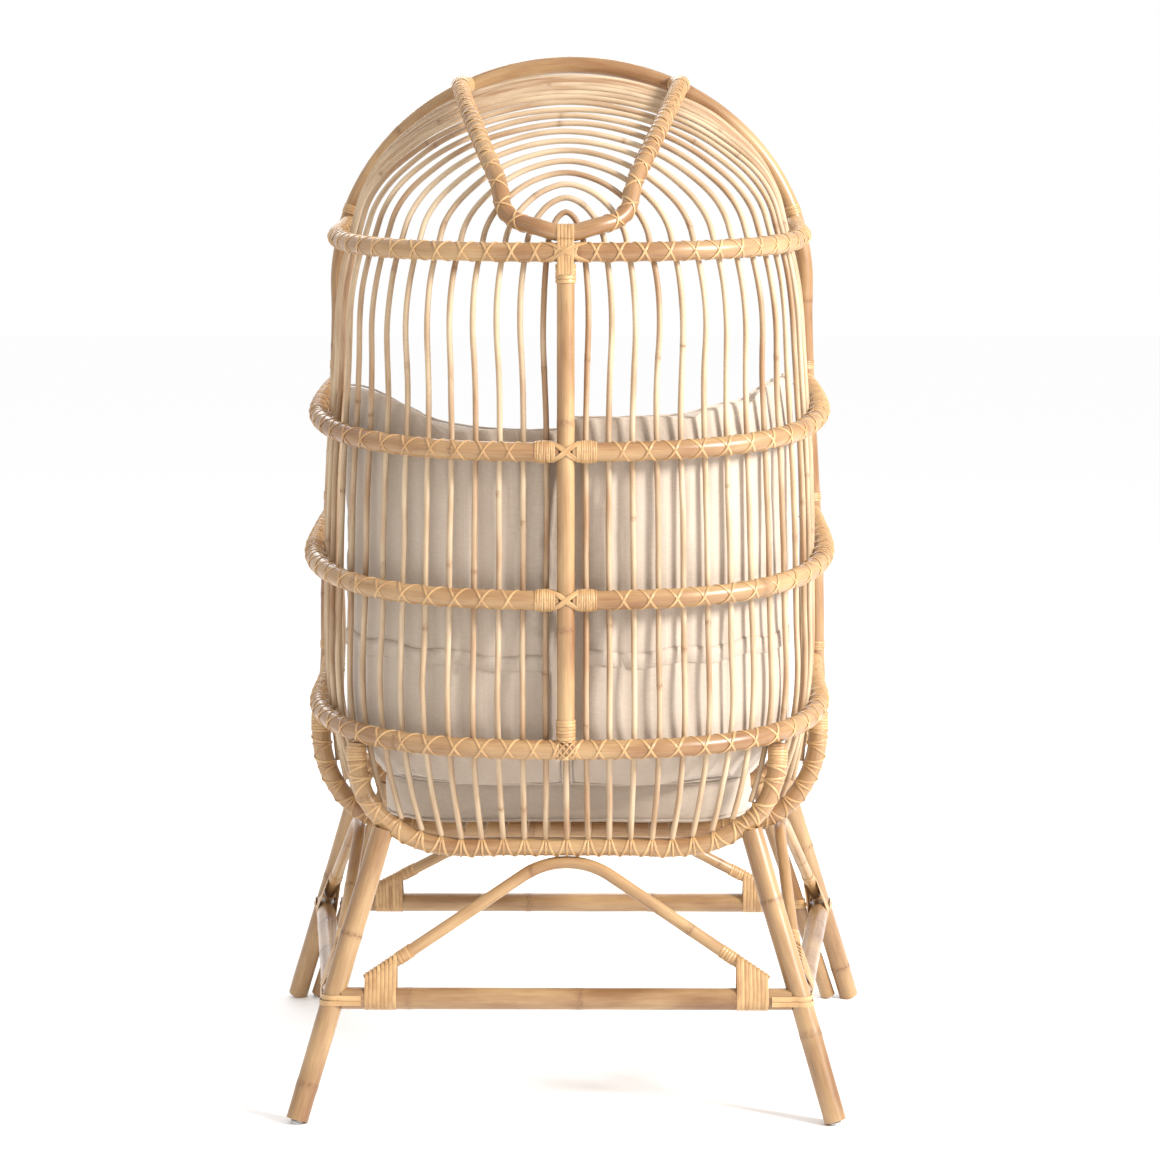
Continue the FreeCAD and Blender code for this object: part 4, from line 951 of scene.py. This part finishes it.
# ring number: half length of its crossed strips, their offsets, their width, how far each layer stands out
RING_CROSSINGS = {1: (27, (-4.5, 0.5), 4.2, 2.4, 3.4), 2: (20, (-3.2, 1.6), 4.2, 0.5, 1.5),
                  3: (20, (-3.2, 1.6), 4.2, 0.5, 1.5), 4: (13, (-9, 0, 9), 2.8, 0.5, 1.4)}


def ring_lashings():
    for number, ring in enumerate(RINGS, start=1):
        skin, rng = Skin(), np.random.default_rng(200 + number)
        line = whole_ring(ring)
        if number in (1, 4):
            stops = ring_stops(ring, -1, 1) + [(ring.length, True)] + ring_stops(ring, 1, 1)
            both_hands(skin, line, stops, RING_R, rng, spindle_gap=INSET)
        else:
            for sign in (-1, 1):
                both_hands(skin, line, ring_stops(ring, sign, 2), RING_R, rng, spindle_gap=INSET)
                joint_wrap(skin, ring, line, sign, rng)
        half, offsets, width, over_first, over_second = RING_CROSSINGS[number]
        for offset in offsets:
            crossing(skin, ring.back_z, half, rng, offset, width=width, over=over_first)
            crossing(skin, ring.back_z, half, rng, -offset, rise=-1.0, width=width, over=over_second)
        for sign in (-1, 1):
            tip = hoop_point(ring.front_z)
            tip[0] *= sign
            hoop = Line(np.array([side_of(hoop_point(ring.front_z + dz), sign) for dz in range(-60, 61, 5)]),
                        outward=outward_of(vec(0, -210, ring.front_z)))
            middle = hoop.nearest(tip)
            for shift, slant in ((-29, 1.2), (18.8, -1.2)):
                tight_turns(skin, hoop, middle + shift, 4, 3.4, HOOP_R, rng, slant=slant)
        skin.piece("ring_%d_cane" % number, CANE, ["ring_%d_lashing" % number], "cane_strip")


def loop_lashing():
    skin, rng = Skin(), np.random.default_rng(310)
    points, shares = hood_loop_left()
    left = Line(bent(points))
    whole = Line(both(points), outward=outward_of(vec(0, 90, 1190)))
    shares[1] = 0.06
    stations = [left.nearest(p) for p in points[:-1]]
    half = whole.length / 2
    for sign in (-1, 1):
        places = [np.interp(arch_fraction(number), shares, stations) for number in range(2, ARCHES)]
        stops = [(p, True) for p in places]
        for a, b in zip(places[9:], places[10:]):
            stops += [(a + (b - a) * share, False) for share in (1 / 3, 2 / 3)]
        for a, b in zip(places[4:9], places[5:10]):
            stops.append(((a + b) / 2, False))
        stops.append((left.length - 3, False))
        stops = [(half + sign * s, tied) for s, tied in sorted(stops)]
        stops = stops if sign > 0 else stops[::-1]
        both_hands(skin, whole, stops, LOOP_R, rng, spindle_gap=LOOP_R + GAP + LOOP_CLEAR + SPINDLE_R,
                   width=3.0)
        end = half + sign * (left.length - 6)
        tight_turns(skin, whole, min(end, end - sign * 104), 24, 4.5, LOOP_R, rng, width=3.9, slant=1.8,
                    clear=1.2)
    loop_z = RING_SIZES[0][1] + RING_R + GAP + LOOP_R
    for turn in range(5):
        x = (turn - 2) * 4.7
        path, sides = [], []
        for degrees in range(100, -46, -8):
            angle = math.radians(degrees)
            out = vec(0, math.cos(angle), math.sin(angle))
            path.append(vec(x, BACK, loop_z) + (LOOP_R + 0.6) * out)
            sides.append(out)
        for drop in np.linspace(0, 1, 9):
            path.append(vec(x * (1 - 0.12 * drop), BACK + RING_R + 1.6 - 0.9 * drop, 1195 - 34 * drop))
            sides.append(vec(0.02 * x, 1, 0))
        strip(skin, path, sides, 4.5, 0.9, rng)
    skin.piece("hood_loop_cane", CANE, ["hood_loop_lashing"], "cane_strip")


MID_CROSS = 230.0  # distance of the steep extra turns along the middle cradle


def cradle_lashings():
    skin, rng = Skin(), np.random.default_rng(420)
    jobs = ((BACK_CRADLE, BACK_LEFT, BACK_CRADLE_R, 1, LAST_ON_BACK),
            (MID_CRADLE, MID_LEFT, MID_CRADLE_R, LAST_ON_BACK + 1, LAST_ON_MID))
    for points, left, pole_r, first, last in jobs:
        whole = Line(both(points), outward=left.outward)
        half = whole.length / 2
        places = [spindle_end(number, RINGS[3].inside(arch_fraction(number), INSET))[2]
                  for number in range(first, last + 1)]
        mirrored = [-p for p in reversed(places)]
        spans = [mirrored + [0] + places] if first == 1 else [mirrored, places]
        for span in spans:
            stops = [(half + s, False) for s in [span[0] - 22] + span + [span[-1] + 22]]
            both_hands(skin, whole, stops, pole_r, rng)
            for s in span:
                tight_turns(skin, whole, half + s, 1, 1, pole_r, rng, width=2.8, clear=0.25)
        for sign in (-1, 1):
            top = half + sign * (left.length - 6)
            tight_turns(skin, whole, min(top, top - sign * 24), 7, 4.0, pole_r, rng, width=3.9)
            cross = half + sign * (BACK_LEG_TOP if first == 1 else MID_CROSS)
            tight_turns(skin, whole, cross - 6, 2, 12, pole_r, rng, width=3.0, slant=3.5)
    for sign in (-1, 1):
        side = Line(np.array([side_of(p, sign) for p in HOOP_LEFT.points]), outward=HOOP_LEFT.outward)
        heights = [HOOP_TIE_Z + HOOP_PITCH * k for k in range(ARCHES - LAST_ON_MID)]
        places = [HOOP_LEFT.nearest(hoop_point(z)) for z in heights]
        stops = [(s, False) for s in [places[0] - 40, places[0] - 20] + places + [places[-1] + 20]]
        both_hands(skin, side, stops, HOOP_R, rng)
    skin.piece("cradle_cane", CANE, ["cradle_lashing"], "cane_strip")


def pillar_bindings():
    skin, rng = Skin(), np.random.default_rng(530)
    low_z, high_z, upper_band_z, lower_band_z = 500.0, 1200.0, 1152.0, 534.0
    line = Line(straight(at(0, 0, low_z), at(0, 0, high_z)), outward=outward_of(vec(0, 0, 800)))
    tight_turns(skin, line, upper_band_z - low_z, 5, 5.2, PILLAR_R, rng, width=5.0, clear=1.0)
    tight_turns(skin, line, lower_band_z - low_z, 6, 4.6, PILLAR_R, rng, width=4.4, clear=0.3)
    skin.piece("back_pole_cane", CANE, ["pole_bindings"], "cane_strip")


def leg_strap(skin, foot, heading, leg, side, rng):
    """Two level strips round the leg whose ends run into the binding on the stretcher."""
    low, top, radius = LEGS[leg]
    lean = unit(side_of(top, side) - side_of(low, side))
    along = unit(heading * vec(1, 1, 0))
    across = np.cross(UP, along)
    for lift in (-3.6, 3.6):
        centre = foot + lean * (lift / lean[2])
        path, sides = [], []
        for reach in (40, 32, 24, 17):
            path.append(foot + along * reach + across * (STRETCHER_R + 1.1) + UP * lift)
            sides.append(across)
        for degrees in range(72, 289, 12):
            angle = math.radians(degrees)
            out = along * math.cos(angle) + across * math.sin(angle)
            stretch = 1 / math.sqrt(1 - out.dot(lean) ** 2)
            path.append(centre + out * (radius * stretch + 0.7))
            sides.append(out)
        for reach in (17, 24, 32, 40):
            path.append(foot + along * reach - across * (STRETCHER_R + 1.1) + UP * lift)
            sides.append(-across)
        strip(skin, path, sides, 7.0, 1.0, rng)


def stretcher_bindings():
    skin, rng = Skin(), np.random.default_rng(640)
    for name, (leg_a, side_a, leg_b, side_b) in STRETCHERS.items():
        _, foot_a, bend_a, bend_b, foot_b = brace_line(name)
        start, end = stretcher_ends(name)
        for foot, bend, near, far, leg, side in ((foot_a, bend_a, start, end, leg_a, side_a),
                                                 (foot_b, bend_b, end, start, leg_b, side_b)):
            axis, arm = unit(far - near), unit(bend - foot)
            stretch = 1 / arm.dot(axis)
            for turn in range(8):
                high = foot + arm * ((1.0 + 5.5 * turn) * stretch)
                low = near + axis * (high - near).dot(axis)
                hull_band(skin, low, STRETCHER_R, high, BRACE_R * 1.1, axis, 5.4, 1.0, rng)
            brace = Line(straight(foot, bend), outward=outward_of((near + far) / 2 - UP * 300))
            tight_turns(skin, brace, 46 * stretch, 5, 4.4, BRACE_R, rng, width=4.2, slant=0.8)
            leg_strap(skin, near, axis, leg, side, rng)
    skin.piece("stretcher_cane", CANE, ["stretcher_bindings"], "cane_strip")


# ---------------------------------------------------------------- small hardware

def make_glides():
    """Turned plastic glides with a rounded foot and a collar."""
    profile = ((0.0, 0.35), (4.0, 0.25), (7.2, 0.0), (8.3, 0.3), (9.0, 1.2), (9.0, 2.6), (8.5, 3.1),
               (8.4, 4.2), (8.0, 4.9), (0.0, GLIDE_HEIGHT))
    skin, sides = Skin(), 32
    angles = np.linspace(0, 2 * math.pi, sides, endpoint=False)
    for leg in LEGS:
        for side in (1, -1):
            centre = side_of(leg_axis(leg, GLIDE_HEIGHT), side) * vec(1, 1, 0)
            rows = np.array([[centre + vec(r * math.cos(a), r * math.sin(a), z) for a in angles]
                             for r, z in profile])
            add_grid(skin, rows, rows, 0.0, np.zeros(len(profile)))
    skin.piece("leg_glides", GLIDE, ["foot_glides"], "glide_plastic", sharp=70)


def finish_screws():
    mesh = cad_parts["frame_screws"].data
    mesh.materials.clear()
    mesh.materials.append(ZINC)


# ---------------------------------------------------------------- cushions

SEAT_TOP, BACK_BASE = 472.5, 476.0
CUSHION_INSET, CUSHION_THICK = INSET + SPINDLE_R + 6, 108.0
CUSHION_START, CUSHION_STOP = 12.0, 0.59
SINK, CUSHION_CUT, INNER_EDGE = 20.0, 40.0, 6.0
SLIDE_LEAD = 82.0  # the back cushions slide this much further than the seat cushion
PRESSURE, FILL_FRAMES = 4.0, 20


class Padded:
    """A closed fabric form, filled by a short cloth simulation."""

    def __init__(self, name):
        self.name, self.verts, self.faces = name, [], []

    def sheet(self, rows, flip_faces=False, rim=None):
        """Add a grid of points; rim maps its border to points that another grid already made."""
        index = {}
        count, width = len(rows), len(rows[0])
        for i in range(count):
            for j in range(width):
                border = i in (0, count - 1) or j in (0, width - 1)
                if rim and border:
                    index[i, j] = rim[i, j]
                else:
                    index[i, j] = len(self.verts)
                    self.verts.append(rows[i][j])
        for i in range(count - 1):
            for j in range(width - 1):
                face = (index[i, j], index[i, j + 1], index[i + 1, j + 1], index[i + 1, j])
                self.faces.append(face[::-1] if flip_faces else face)
        return index

    def fill(self, excess, travel):
        """Blow the form up; the cloth is cut a little large, so that it wrinkles at its seams."""
        mesh = bpy.data.meshes.new(self.name)
        mesh.from_pydata((np.array(self.verts) / 1000).tolist(), [], self.faces)
        item = bpy.data.objects.new(self.name, mesh)
        bpy.context.scene.collection.objects.link(item)
        self.item, self.mesh = item, mesh
        cloth = item.modifiers.new("filling", "CLOTH")
        cloth.settings.quality = 5
        cloth.settings.mass = 0.25
        cloth.settings.tension_stiffness = cloth.settings.compression_stiffness = 18
        cloth.settings.bending_stiffness = 0.15
        cloth.settings.use_pressure = True
        cloth.settings.uniform_pressure_force = PRESSURE
        cloth.settings.shrink_min = -excess
        cloth.settings.effector_weights.gravity = 0
        cloth.point_cache.frame_start, cloth.point_cache.frame_end = 1, FILL_FRAMES
        for frame_number in range(1, FILL_FRAMES + 1):
            bpy.context.scene.frame_set(frame_number)
        filled = item.evaluated_get(bpy.context.evaluated_depsgraph_get()).to_mesh()
        after = np.empty(len(mesh.vertices) * 3, np.float32)
        filled.vertices.foreach_get("co", after)
        after = after.reshape(-1, 3) * 1000.0
        item.modifiers.remove(cloth)
        bpy.context.scene.frame_set(1)
        before = np.array(self.verts)
        shift = after - before
        reach = np.linalg.norm(shift, axis=1)
        shift *= (np.tanh(reach / travel) * travel / np.maximum(reach, 1e-6))[:, None]
        self.verts = list(before + shift)

    def settle(self, limit):
        """Hold every point inside the room that the cushion has."""
        points = limit(np.array(self.verts))
        self.mesh.vertices.foreach_set("co", (points / 1000).astype(np.float32).ravel())
        self.mesh.update()
        self.verts = list(points)

    def finish(self, body, node, seams):
        """Refine the surface, add its seams and hand the piece to its body."""
        smooth = self.item.modifiers.new("refine", "SUBSURF")
        smooth.levels = smooth.render_levels = 1
        evaluated = self.item.evaluated_get(bpy.context.evaluated_depsgraph_get())
        refined = bpy.data.meshes.new_from_object(evaluated)
        self.item.modifiers.remove(smooth)
        points = np.empty(len(refined.vertices) * 3, np.float32)
        refined.vertices.foreach_get("co", points)
        points = points.reshape(-1, 3) * 1000.0
        faces = [tuple(face.vertices) for face in refined.polygons]
        for skin in seams:
            base = len(points)
            points = np.vstack([points] + skin.verts)
            faces += [tuple(i + base for i in face) for face in skin.faces]
        mesh = bpy.data.meshes.new(self.name)
        mesh.from_pydata((points / 1000).tolist(), [], faces)
        mesh.shade_smooth()
        mesh.materials.append(FABRIC)
        self.item.data = mesh
        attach(self.item, body)
        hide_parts(node)


def welt(points, radius, sides=8):
    """A closed round seam cord along points."""
    skin = Skin()
    points = np.asarray(points)
    heading = np.roll(points, -1, 0) - np.roll(points, 1, 0)
    heading /= np.linalg.norm(heading, axis=1)[:, None]
    side = np.cross(heading, UP + vec(0.01, 0.02, 0))
    side /= np.linalg.norm(side, axis=1)[:, None]
    other = np.cross(heading, side)
    angles = np.linspace(0, 2 * math.pi, sides, endpoint=False)
    rows = (points[:, None] + radius * (side[:, None] * np.cos(angles)[None, :, None]
                                        + other[:, None] * np.sin(angles)[None, :, None]))
    add_grid(skin, rows, rows, 0.0, np.zeros(len(points)), closed=True)
    return skin


def basket_frame(points):
    """For left-hand points: distance along ring 2 and inside it, the ring's nearest point, heading inward."""
    curve = RINGS[1].curve
    steps = np.linalg.norm(np.diff(curve, axis=0), axis=1)
    lengths = np.r_[0, np.cumsum(steps)]
    low, high = curve[:-1, :2], curve[1:, :2]
    span = high - low
    offset = points[:, None, :2] - low[None]
    share = np.clip((offset * span).sum(2) / (span ** 2).sum(1), 0, 1)
    feet = low[None] + span[None] * share[..., None]
    distance = np.linalg.norm(points[:, None, :2] - feet, axis=2)
    best = distance.argmin(1)
    rows = np.arange(len(points))
    foot = feet[rows, best]
    along = lengths[best] + share[rows, best] * steps[best]
    inward = points[:, :2] - foot
    inside = np.where((inward * foot).sum(1) < 0, 1.0, -1.0)
    inset = distance[rows, best] * inside
    return along, inset, foot, inward / np.where(np.abs(inset) < 1e-6, 1e-6, inset)[:, None]


def back_top(u, side):
    """Height of a back cushion's top edge: it climbs towards the side."""
    swell = math.sin(math.pi * u ** 1.5)
    if side < 0:
        return 972 + 52 * u + 6 * swell
    return 955 + 50 * u + 14 * swell


def back_panel_point(u, v, side, bulge):
    """Point u along and v up a panel of a back cushion; a positive bulge is the sitter's panel."""
    ring = RINGS[1]
    stop = CUSHION_STOP * ring.length
    middle, half = (CUSHION_START + stop) / 2, (stop - CUSHION_START) / 2
    tuck = 1 + 0.02 * math.sin(math.pi * v) ** 0.8
    low = BACK_BASE - SINK + 3
    swell = ((1 - abs(2 * u - 1) ** 7) * (1 - abs(2 * v - 1) ** 9)) ** 0.5
    seam = 28 + 28 * math.exp(-v * 12)
    along = middle + half * (2 * u - 1) * tuck
    place = ring.inside(along / ring.length, CUSHION_INSET + seam + bulge * swell)
    return vec(place[0], place[1], low + (back_top(u, side) - low) * v)


def make_back_cushion(word, side, seed):
    """A back cushion bent round the basket, built on the left and mirrored for the right."""
    rng = np.random.default_rng(seed)
    ring = RINGS[1]
    across, upward = 48, 68
    shares = [[(j / across, i / upward) for j in range(across + 1)] for i in range(upward + 1)]
    pad = Padded("back_cushion_%s_cover" % word)
    rim = pad.sheet([[back_panel_point(u, v, side, -26) for u, v in row] for row in shares], flip_faces=True)
    pad.sheet([[back_panel_point(u, v, side, 48) for u, v in row] for row in shares], rim=rim)
    ruffle = smooth_noise(np.arange(len(pad.verts)) * 1.0, rng, 37)
    pad.verts = [p + UP * r * 0.8 + vec(r, -r, 0) * 0.6 for p, r in zip(pad.verts, ruffle)]
    pad.fill(excess=0.06, travel=24)
    waves = [(rng.uniform(30, 75), rng.uniform(-0.12, 0.12), rng.uniform(0, 6.28)) for _ in range(5)]
    climb = (ring.front_z - ring.back_z) / ring.front_depth

    def limit(points):
        """Keep the cushion clear of the spindles and of its neighbours, and press it on the basket."""
        along, inset, foot, inward = basket_frame(points)
        order = (ARCHES + 1) * (np.maximum(along, 0) / ring.length) ** (1 / CROWDING)
        near = INSET + SPINDLE_R + 1.3 + 3.2 * np.abs(np.cos(math.pi * order))
        near += np.maximum(0, CUSHION_CUT - (points[:, 2] - BACK_BASE))
        fold = sum(np.sin((along + points[:, 2] * slant) * 6.28 / length + turn)
                   for length, slant, turn in waves)
        fold *= 1 + 0.4 * np.sin(points[:, 2] / 70 + along / 40)
        near += 5.5 * np.clip(fold / 2.2, 0, 1) ** 2
        height = ring.back_z + climb * (BACK - foot[:, 1])
        near += np.maximum(0, points[:, 2] - height) * 0.13
        soft = np.where(inset < near + 5, near + 5 * np.exp(np.minimum(inset - near - 5, 0) / 5), inset)
        soft = np.minimum(soft, CUSHION_INSET + CUSHION_THICK)
        result = points.copy()
        result[:, :2] = foot + inward * soft[:, None]
        result[:, 2] = np.maximum(points[:, 2], BACK_BASE - SINK)
        border = result[[rim[i, 0] for i in range(upward + 1)]]
        edge = np.interp(result[:, 2], border[:, 2], border[:, 0])
        result[:, 0] -= (edge - INNER_EDGE) * np.exp(-np.abs(result[:, 0] - edge) / 60.0)
        result[:, 0] = np.maximum(result[:, 0], INNER_EDGE)
        lower = [rim[0, j] for j in range(across + 1)]
        base = np.interp(along, along[lower], result[lower, 2])
        result[:, 2] -= (base - (BACK_BASE - SINK + 1)) * np.exp(-np.abs(result[:, 2] - base) / 50.0)
        result[:, 2] = np.maximum(result[:, 2], BACK_BASE - SINK)
        return result

    pad.settle(limit)
    if side < 0:
        mirror_pad(pad)
    seam = welt(np.array([pad.verts[rim[place]] for place in border_places(upward, across)]), 1.5)
    hem = hem_strip(pad, rim, int(upward * 0.36), across, side)
    pad.finish("back_cushion_%s_body" % word, "back_cushion_%s" % word, [seam, hem])


def border_places(rows, columns):
    """Row and column of each border point of a grid, once round."""
    places = [(0, j) for j in range(columns)] + [(i, columns) for i in range(rows)]
    return places + [(rows, j) for j in range(columns, 0, -1)] + [(i, 0) for i in range(rows, 0, -1)]


def hem_strip(pad, rim, row, across, side):
    """The raised hem of the closing flap, which runs across a back cushion's back panel."""
    hem = []
    for drop, lift in ((0.9, 0.0), (0.9, 1.6), (0.0, 1.9), (-1.8, 1.6), (-1.9, 0.4)):
        line = []
        for j in range(2, across - 1):
            low, high = pad.verts[rim[row, j]], pad.verts[rim[row + 1, j]]
            sideways = pad.verts[rim[row, j + 1]] - pad.verts[rim[row, j - 1]]
            point = low + (high - low) * (drop + 0.35 * math.sin(j * 0.5))
            line.append(point + unit(np.cross(high - low, sideways)) * lift * side)
        hem.append(line)
    skin, rows = Skin(), np.array(hem)
    count, width = rows.shape[:2]
    quads = [(i * width + j, (i + 1) * width + j, (i + 1) * width + j + 1, i * width + j + 1)
             for i in range(count - 1) for j in range(width - 1)]
    skin.add(rows.reshape(-1, 3), quads, rows.reshape(-1, 3), 0.0, np.zeros(count * width))
    return skin


def mirror_pad(pad):
    """Turn a left cushion into a right one."""
    pad.verts = [vec(-p[0], p[1], p[2]) for p in pad.verts]
    pad.faces = [face[::-1] for face in pad.faces]
    mesh = bpy.data.meshes.new(pad.name)
    mesh.from_pydata((np.array(pad.verts) / 1000).tolist(), [], pad.faces)
    pad.item.data = pad.mesh = mesh


SEAT_WIDTH, SEAT_LENGTH, SEAT_CORNER, SEAT_MIDDLE_Y = 556.0, 470.0, 120.0, 9.0


def seat_edge(angle, shrink):
    """Reach of the seat cushion's rounded outline from its middle, at a heading."""
    half_x, half_y, corner = SEAT_WIDTH / 2 - shrink, SEAT_LENGTH / 2 - shrink, SEAT_CORNER - shrink
    c, s = abs(math.cos(angle)), abs(math.sin(angle))
    reach = min(half_x / max(c, 1e-9), half_y / max(s, 1e-9))
    x, y = half_x - corner, half_y - corner
    if reach * c > x and reach * s > y:
        b = c * x + s * y
        reach = b + math.sqrt(max(0.0, b * b - (x * x + y * y - corner * corner)))
    return reach


def make_seat_cushion():
    """Boxed cushion with corded seams round its top and bottom."""
    rng = np.random.default_rng(91)
    centre = vec(0, SEAT_MIDDLE_Y, 0)
    across, deep, levels = 64, 54, 7
    low_z, high_z = 397.0, 464.0

    def layer(z, swell, shrink):
        rows = []
        for i in range(deep + 1):
            row = []
            for j in range(across + 1):
                p, q = 2 * j / across - 1, 2 * i / deep - 1
                size, angle = max(abs(p), abs(q)), math.atan2(q * SEAT_LENGTH, p * SEAT_WIDTH)
                reach = size * seat_edge(angle, shrink)
                rise = swell * (1 - p ** 4) * (1 - q ** 4)
                row.append(centre + vec(reach * math.cos(angle), reach * math.sin(angle), z + rise))
            rows.append(row)
        return rows

    pad = Padded("seat_cushion_cover")
    top = pad.sheet(layer(high_z, 6, 9))
    bottom = pad.sheet(layer(low_z, -3, 9), flip_faces=True)
    loop = border_places(deep, across)
    ladder = [[bottom[k] for k in loop]]
    for level in range(1, levels):
        share = level / levels
        ladder.append([len(pad.verts) + n for n in range(len(loop))])
        for k in loop:
            low, high = np.array(pad.verts[bottom[k]]), np.array(pad.verts[top[k]])
            out = unit((low + high) / 2 * vec(1, 1, 0) - centre)
            pad.verts.append(low + (high - low) * share + out * (3.5 * math.sin(math.pi * share)))
    ladder.append([top[k] for k in loop])
    for low, high in zip(ladder, ladder[1:]):
        for n in range(len(loop)):
            m = (n + 1) % len(loop)
            pad.faces.append((low[n], low[m], high[m], high[n]))
    ruffle = smooth_noise(np.arange(len(pad.verts)) * 1.0, rng, 29)
    pad.verts = [p + vec(0, 0, r * 0.5) for p, r in zip(pad.verts, ruffle)]
    pad.fill(excess=0.035, travel=11)

    def limit(points):
        """Keep inside the outline, and dent the back where the back cushions rest and slide."""
        result = points.copy()
        flat = points[:, :2] - centre[:2]
        angle, reach = np.arctan2(flat[:, 1], flat[:, 0]), np.linalg.norm(flat, axis=1)
        most = np.array([seat_edge(a, 1.2) for a in angle])
        result[:, :2] = centre[:2] + flat * np.minimum(1, most / np.maximum(reach, 1e-6))[:, None]
        shifted = np.abs(points * vec(1, 0, 1)) + points * vec(0, 1, 0) + vec(0, SLIDE_LEAD, 0)
        inset = basket_frame(shifted)[1]
        pressed = np.clip((CUSHION_INSET + 136 - inset) / 70, 0, 1) * np.clip((points[:, 1] + 30) / 60, 0, 1)
        result[:, 2] = np.clip(points[:, 2], 393.0, SEAT_TOP + 1.0 - (SINK + 4.0) * pressed)
        return result

    pad.settle(limit)
    seams = [welt(np.array([pad.verts[panel[k]] for k in loop]), 2.2) for panel in (top, bottom)]
    pad.finish("seat_cushion_body", "seat_cushion", seams)


def make_cushions():
    make_seat_cushion()
    make_back_cushion("left", 1, 11)
    make_back_cushion("right", -1, 12)


# ---------------------------------------------------------------- stage (metres)

FLOOR_REACH = 400.0
# name, place, size and watts of each lamp; both look at the middle of the chair
LAMPS = (("key", (-3.7, 2.4, 2.8), 1.2, 380), ("front", (0.6, -3.4, 2.6), 2.0, 50))
LAMP_TARGET = (0, 0, 0.75)
CAMERA_PLACE, CAMERA_DOWN, CAMERA_TURN = (-0.0608, 4.0089, 1.0888), 4.038, 180.652
SENSOR_WIDTH, LENS_LENGTH, LENS_SHIFT = 36.0, 84.16, -0.0517


def make_stage():
    """White floor and sky, two lamps, and the camera that took the photograph."""
    mesh = bpy.data.meshes.new("floor")
    corners = [(x * FLOOR_REACH, y * FLOOR_REACH, 0) for x, y in ((-1, -1), (1, -1), (1, 1), (-1, 1))]
    mesh.from_pydata(corners, [], [(0, 1, 2, 3)])
    floor = bpy.data.objects.new("floor", mesh)
    bpy.context.scene.collection.objects.link(floor)
    shader = Shader("pale_floor")
    pale = (0.985, 0.985, 0.985, 1)
    mesh.materials.append(shader.finish(Base_Color=pale, Roughness=1.0, Specular_IOR_Level=0.0))
    world = bpy.data.worlds.new("studio")
    bpy.context.scene.world = world
    world.use_nodes = True
    world.node_tree.nodes["Background"].inputs[0].default_value = (1, 1, 1, 1)
    world.node_tree.nodes["Background"].inputs[1].default_value = 1.0
    for name, place, extent, power in LAMPS:
        light = bpy.data.lights.new(name, "AREA")
        light.size, light.energy = extent, power
        lamp = bpy.data.objects.new(name, light)
        lamp.location = place
        direction = np.array(LAMP_TARGET) - np.array(place)
        lamp.rotation_euler = (math.acos(-direction[2] / np.linalg.norm(direction)), 0,
                               math.atan2(direction[1], direction[0]) - math.pi / 2)
        bpy.context.scene.collection.objects.link(lamp)
    lens = bpy.data.cameras.new("camera")
    lens.sensor_width, lens.lens = SENSOR_WIDTH, LENS_LENGTH
    lens.shift_y = LENS_SHIFT
    camera = bpy.data.objects.new("camera", lens)
    camera.location = CAMERA_PLACE
    camera.rotation_euler = (math.radians(90 - CAMERA_DOWN), 0, math.radians(CAMERA_TURN))
    bpy.context.scene.collection.objects.link(camera)
    bpy.context.scene.camera = camera
    bpy.context.scene.view_settings.view_transform = "Standard"


# ---------------------------------------------------------------- build

make_hoop()
make_rings()
make_pillars()
make_arches()
loop_points = hood_loop_left()[0]
pole_piece("hood_loop", Line(both(loop_points)), LOOP_R, tone=0.6)
make_cradles()
make_slats()
make_legs()
make_stretchers()
ring_lashings()
loop_lashing()
cradle_lashings()
pillar_bindings()
stretcher_bindings()
make_glides()
finish_screws()
make_cushions()
make_stage()
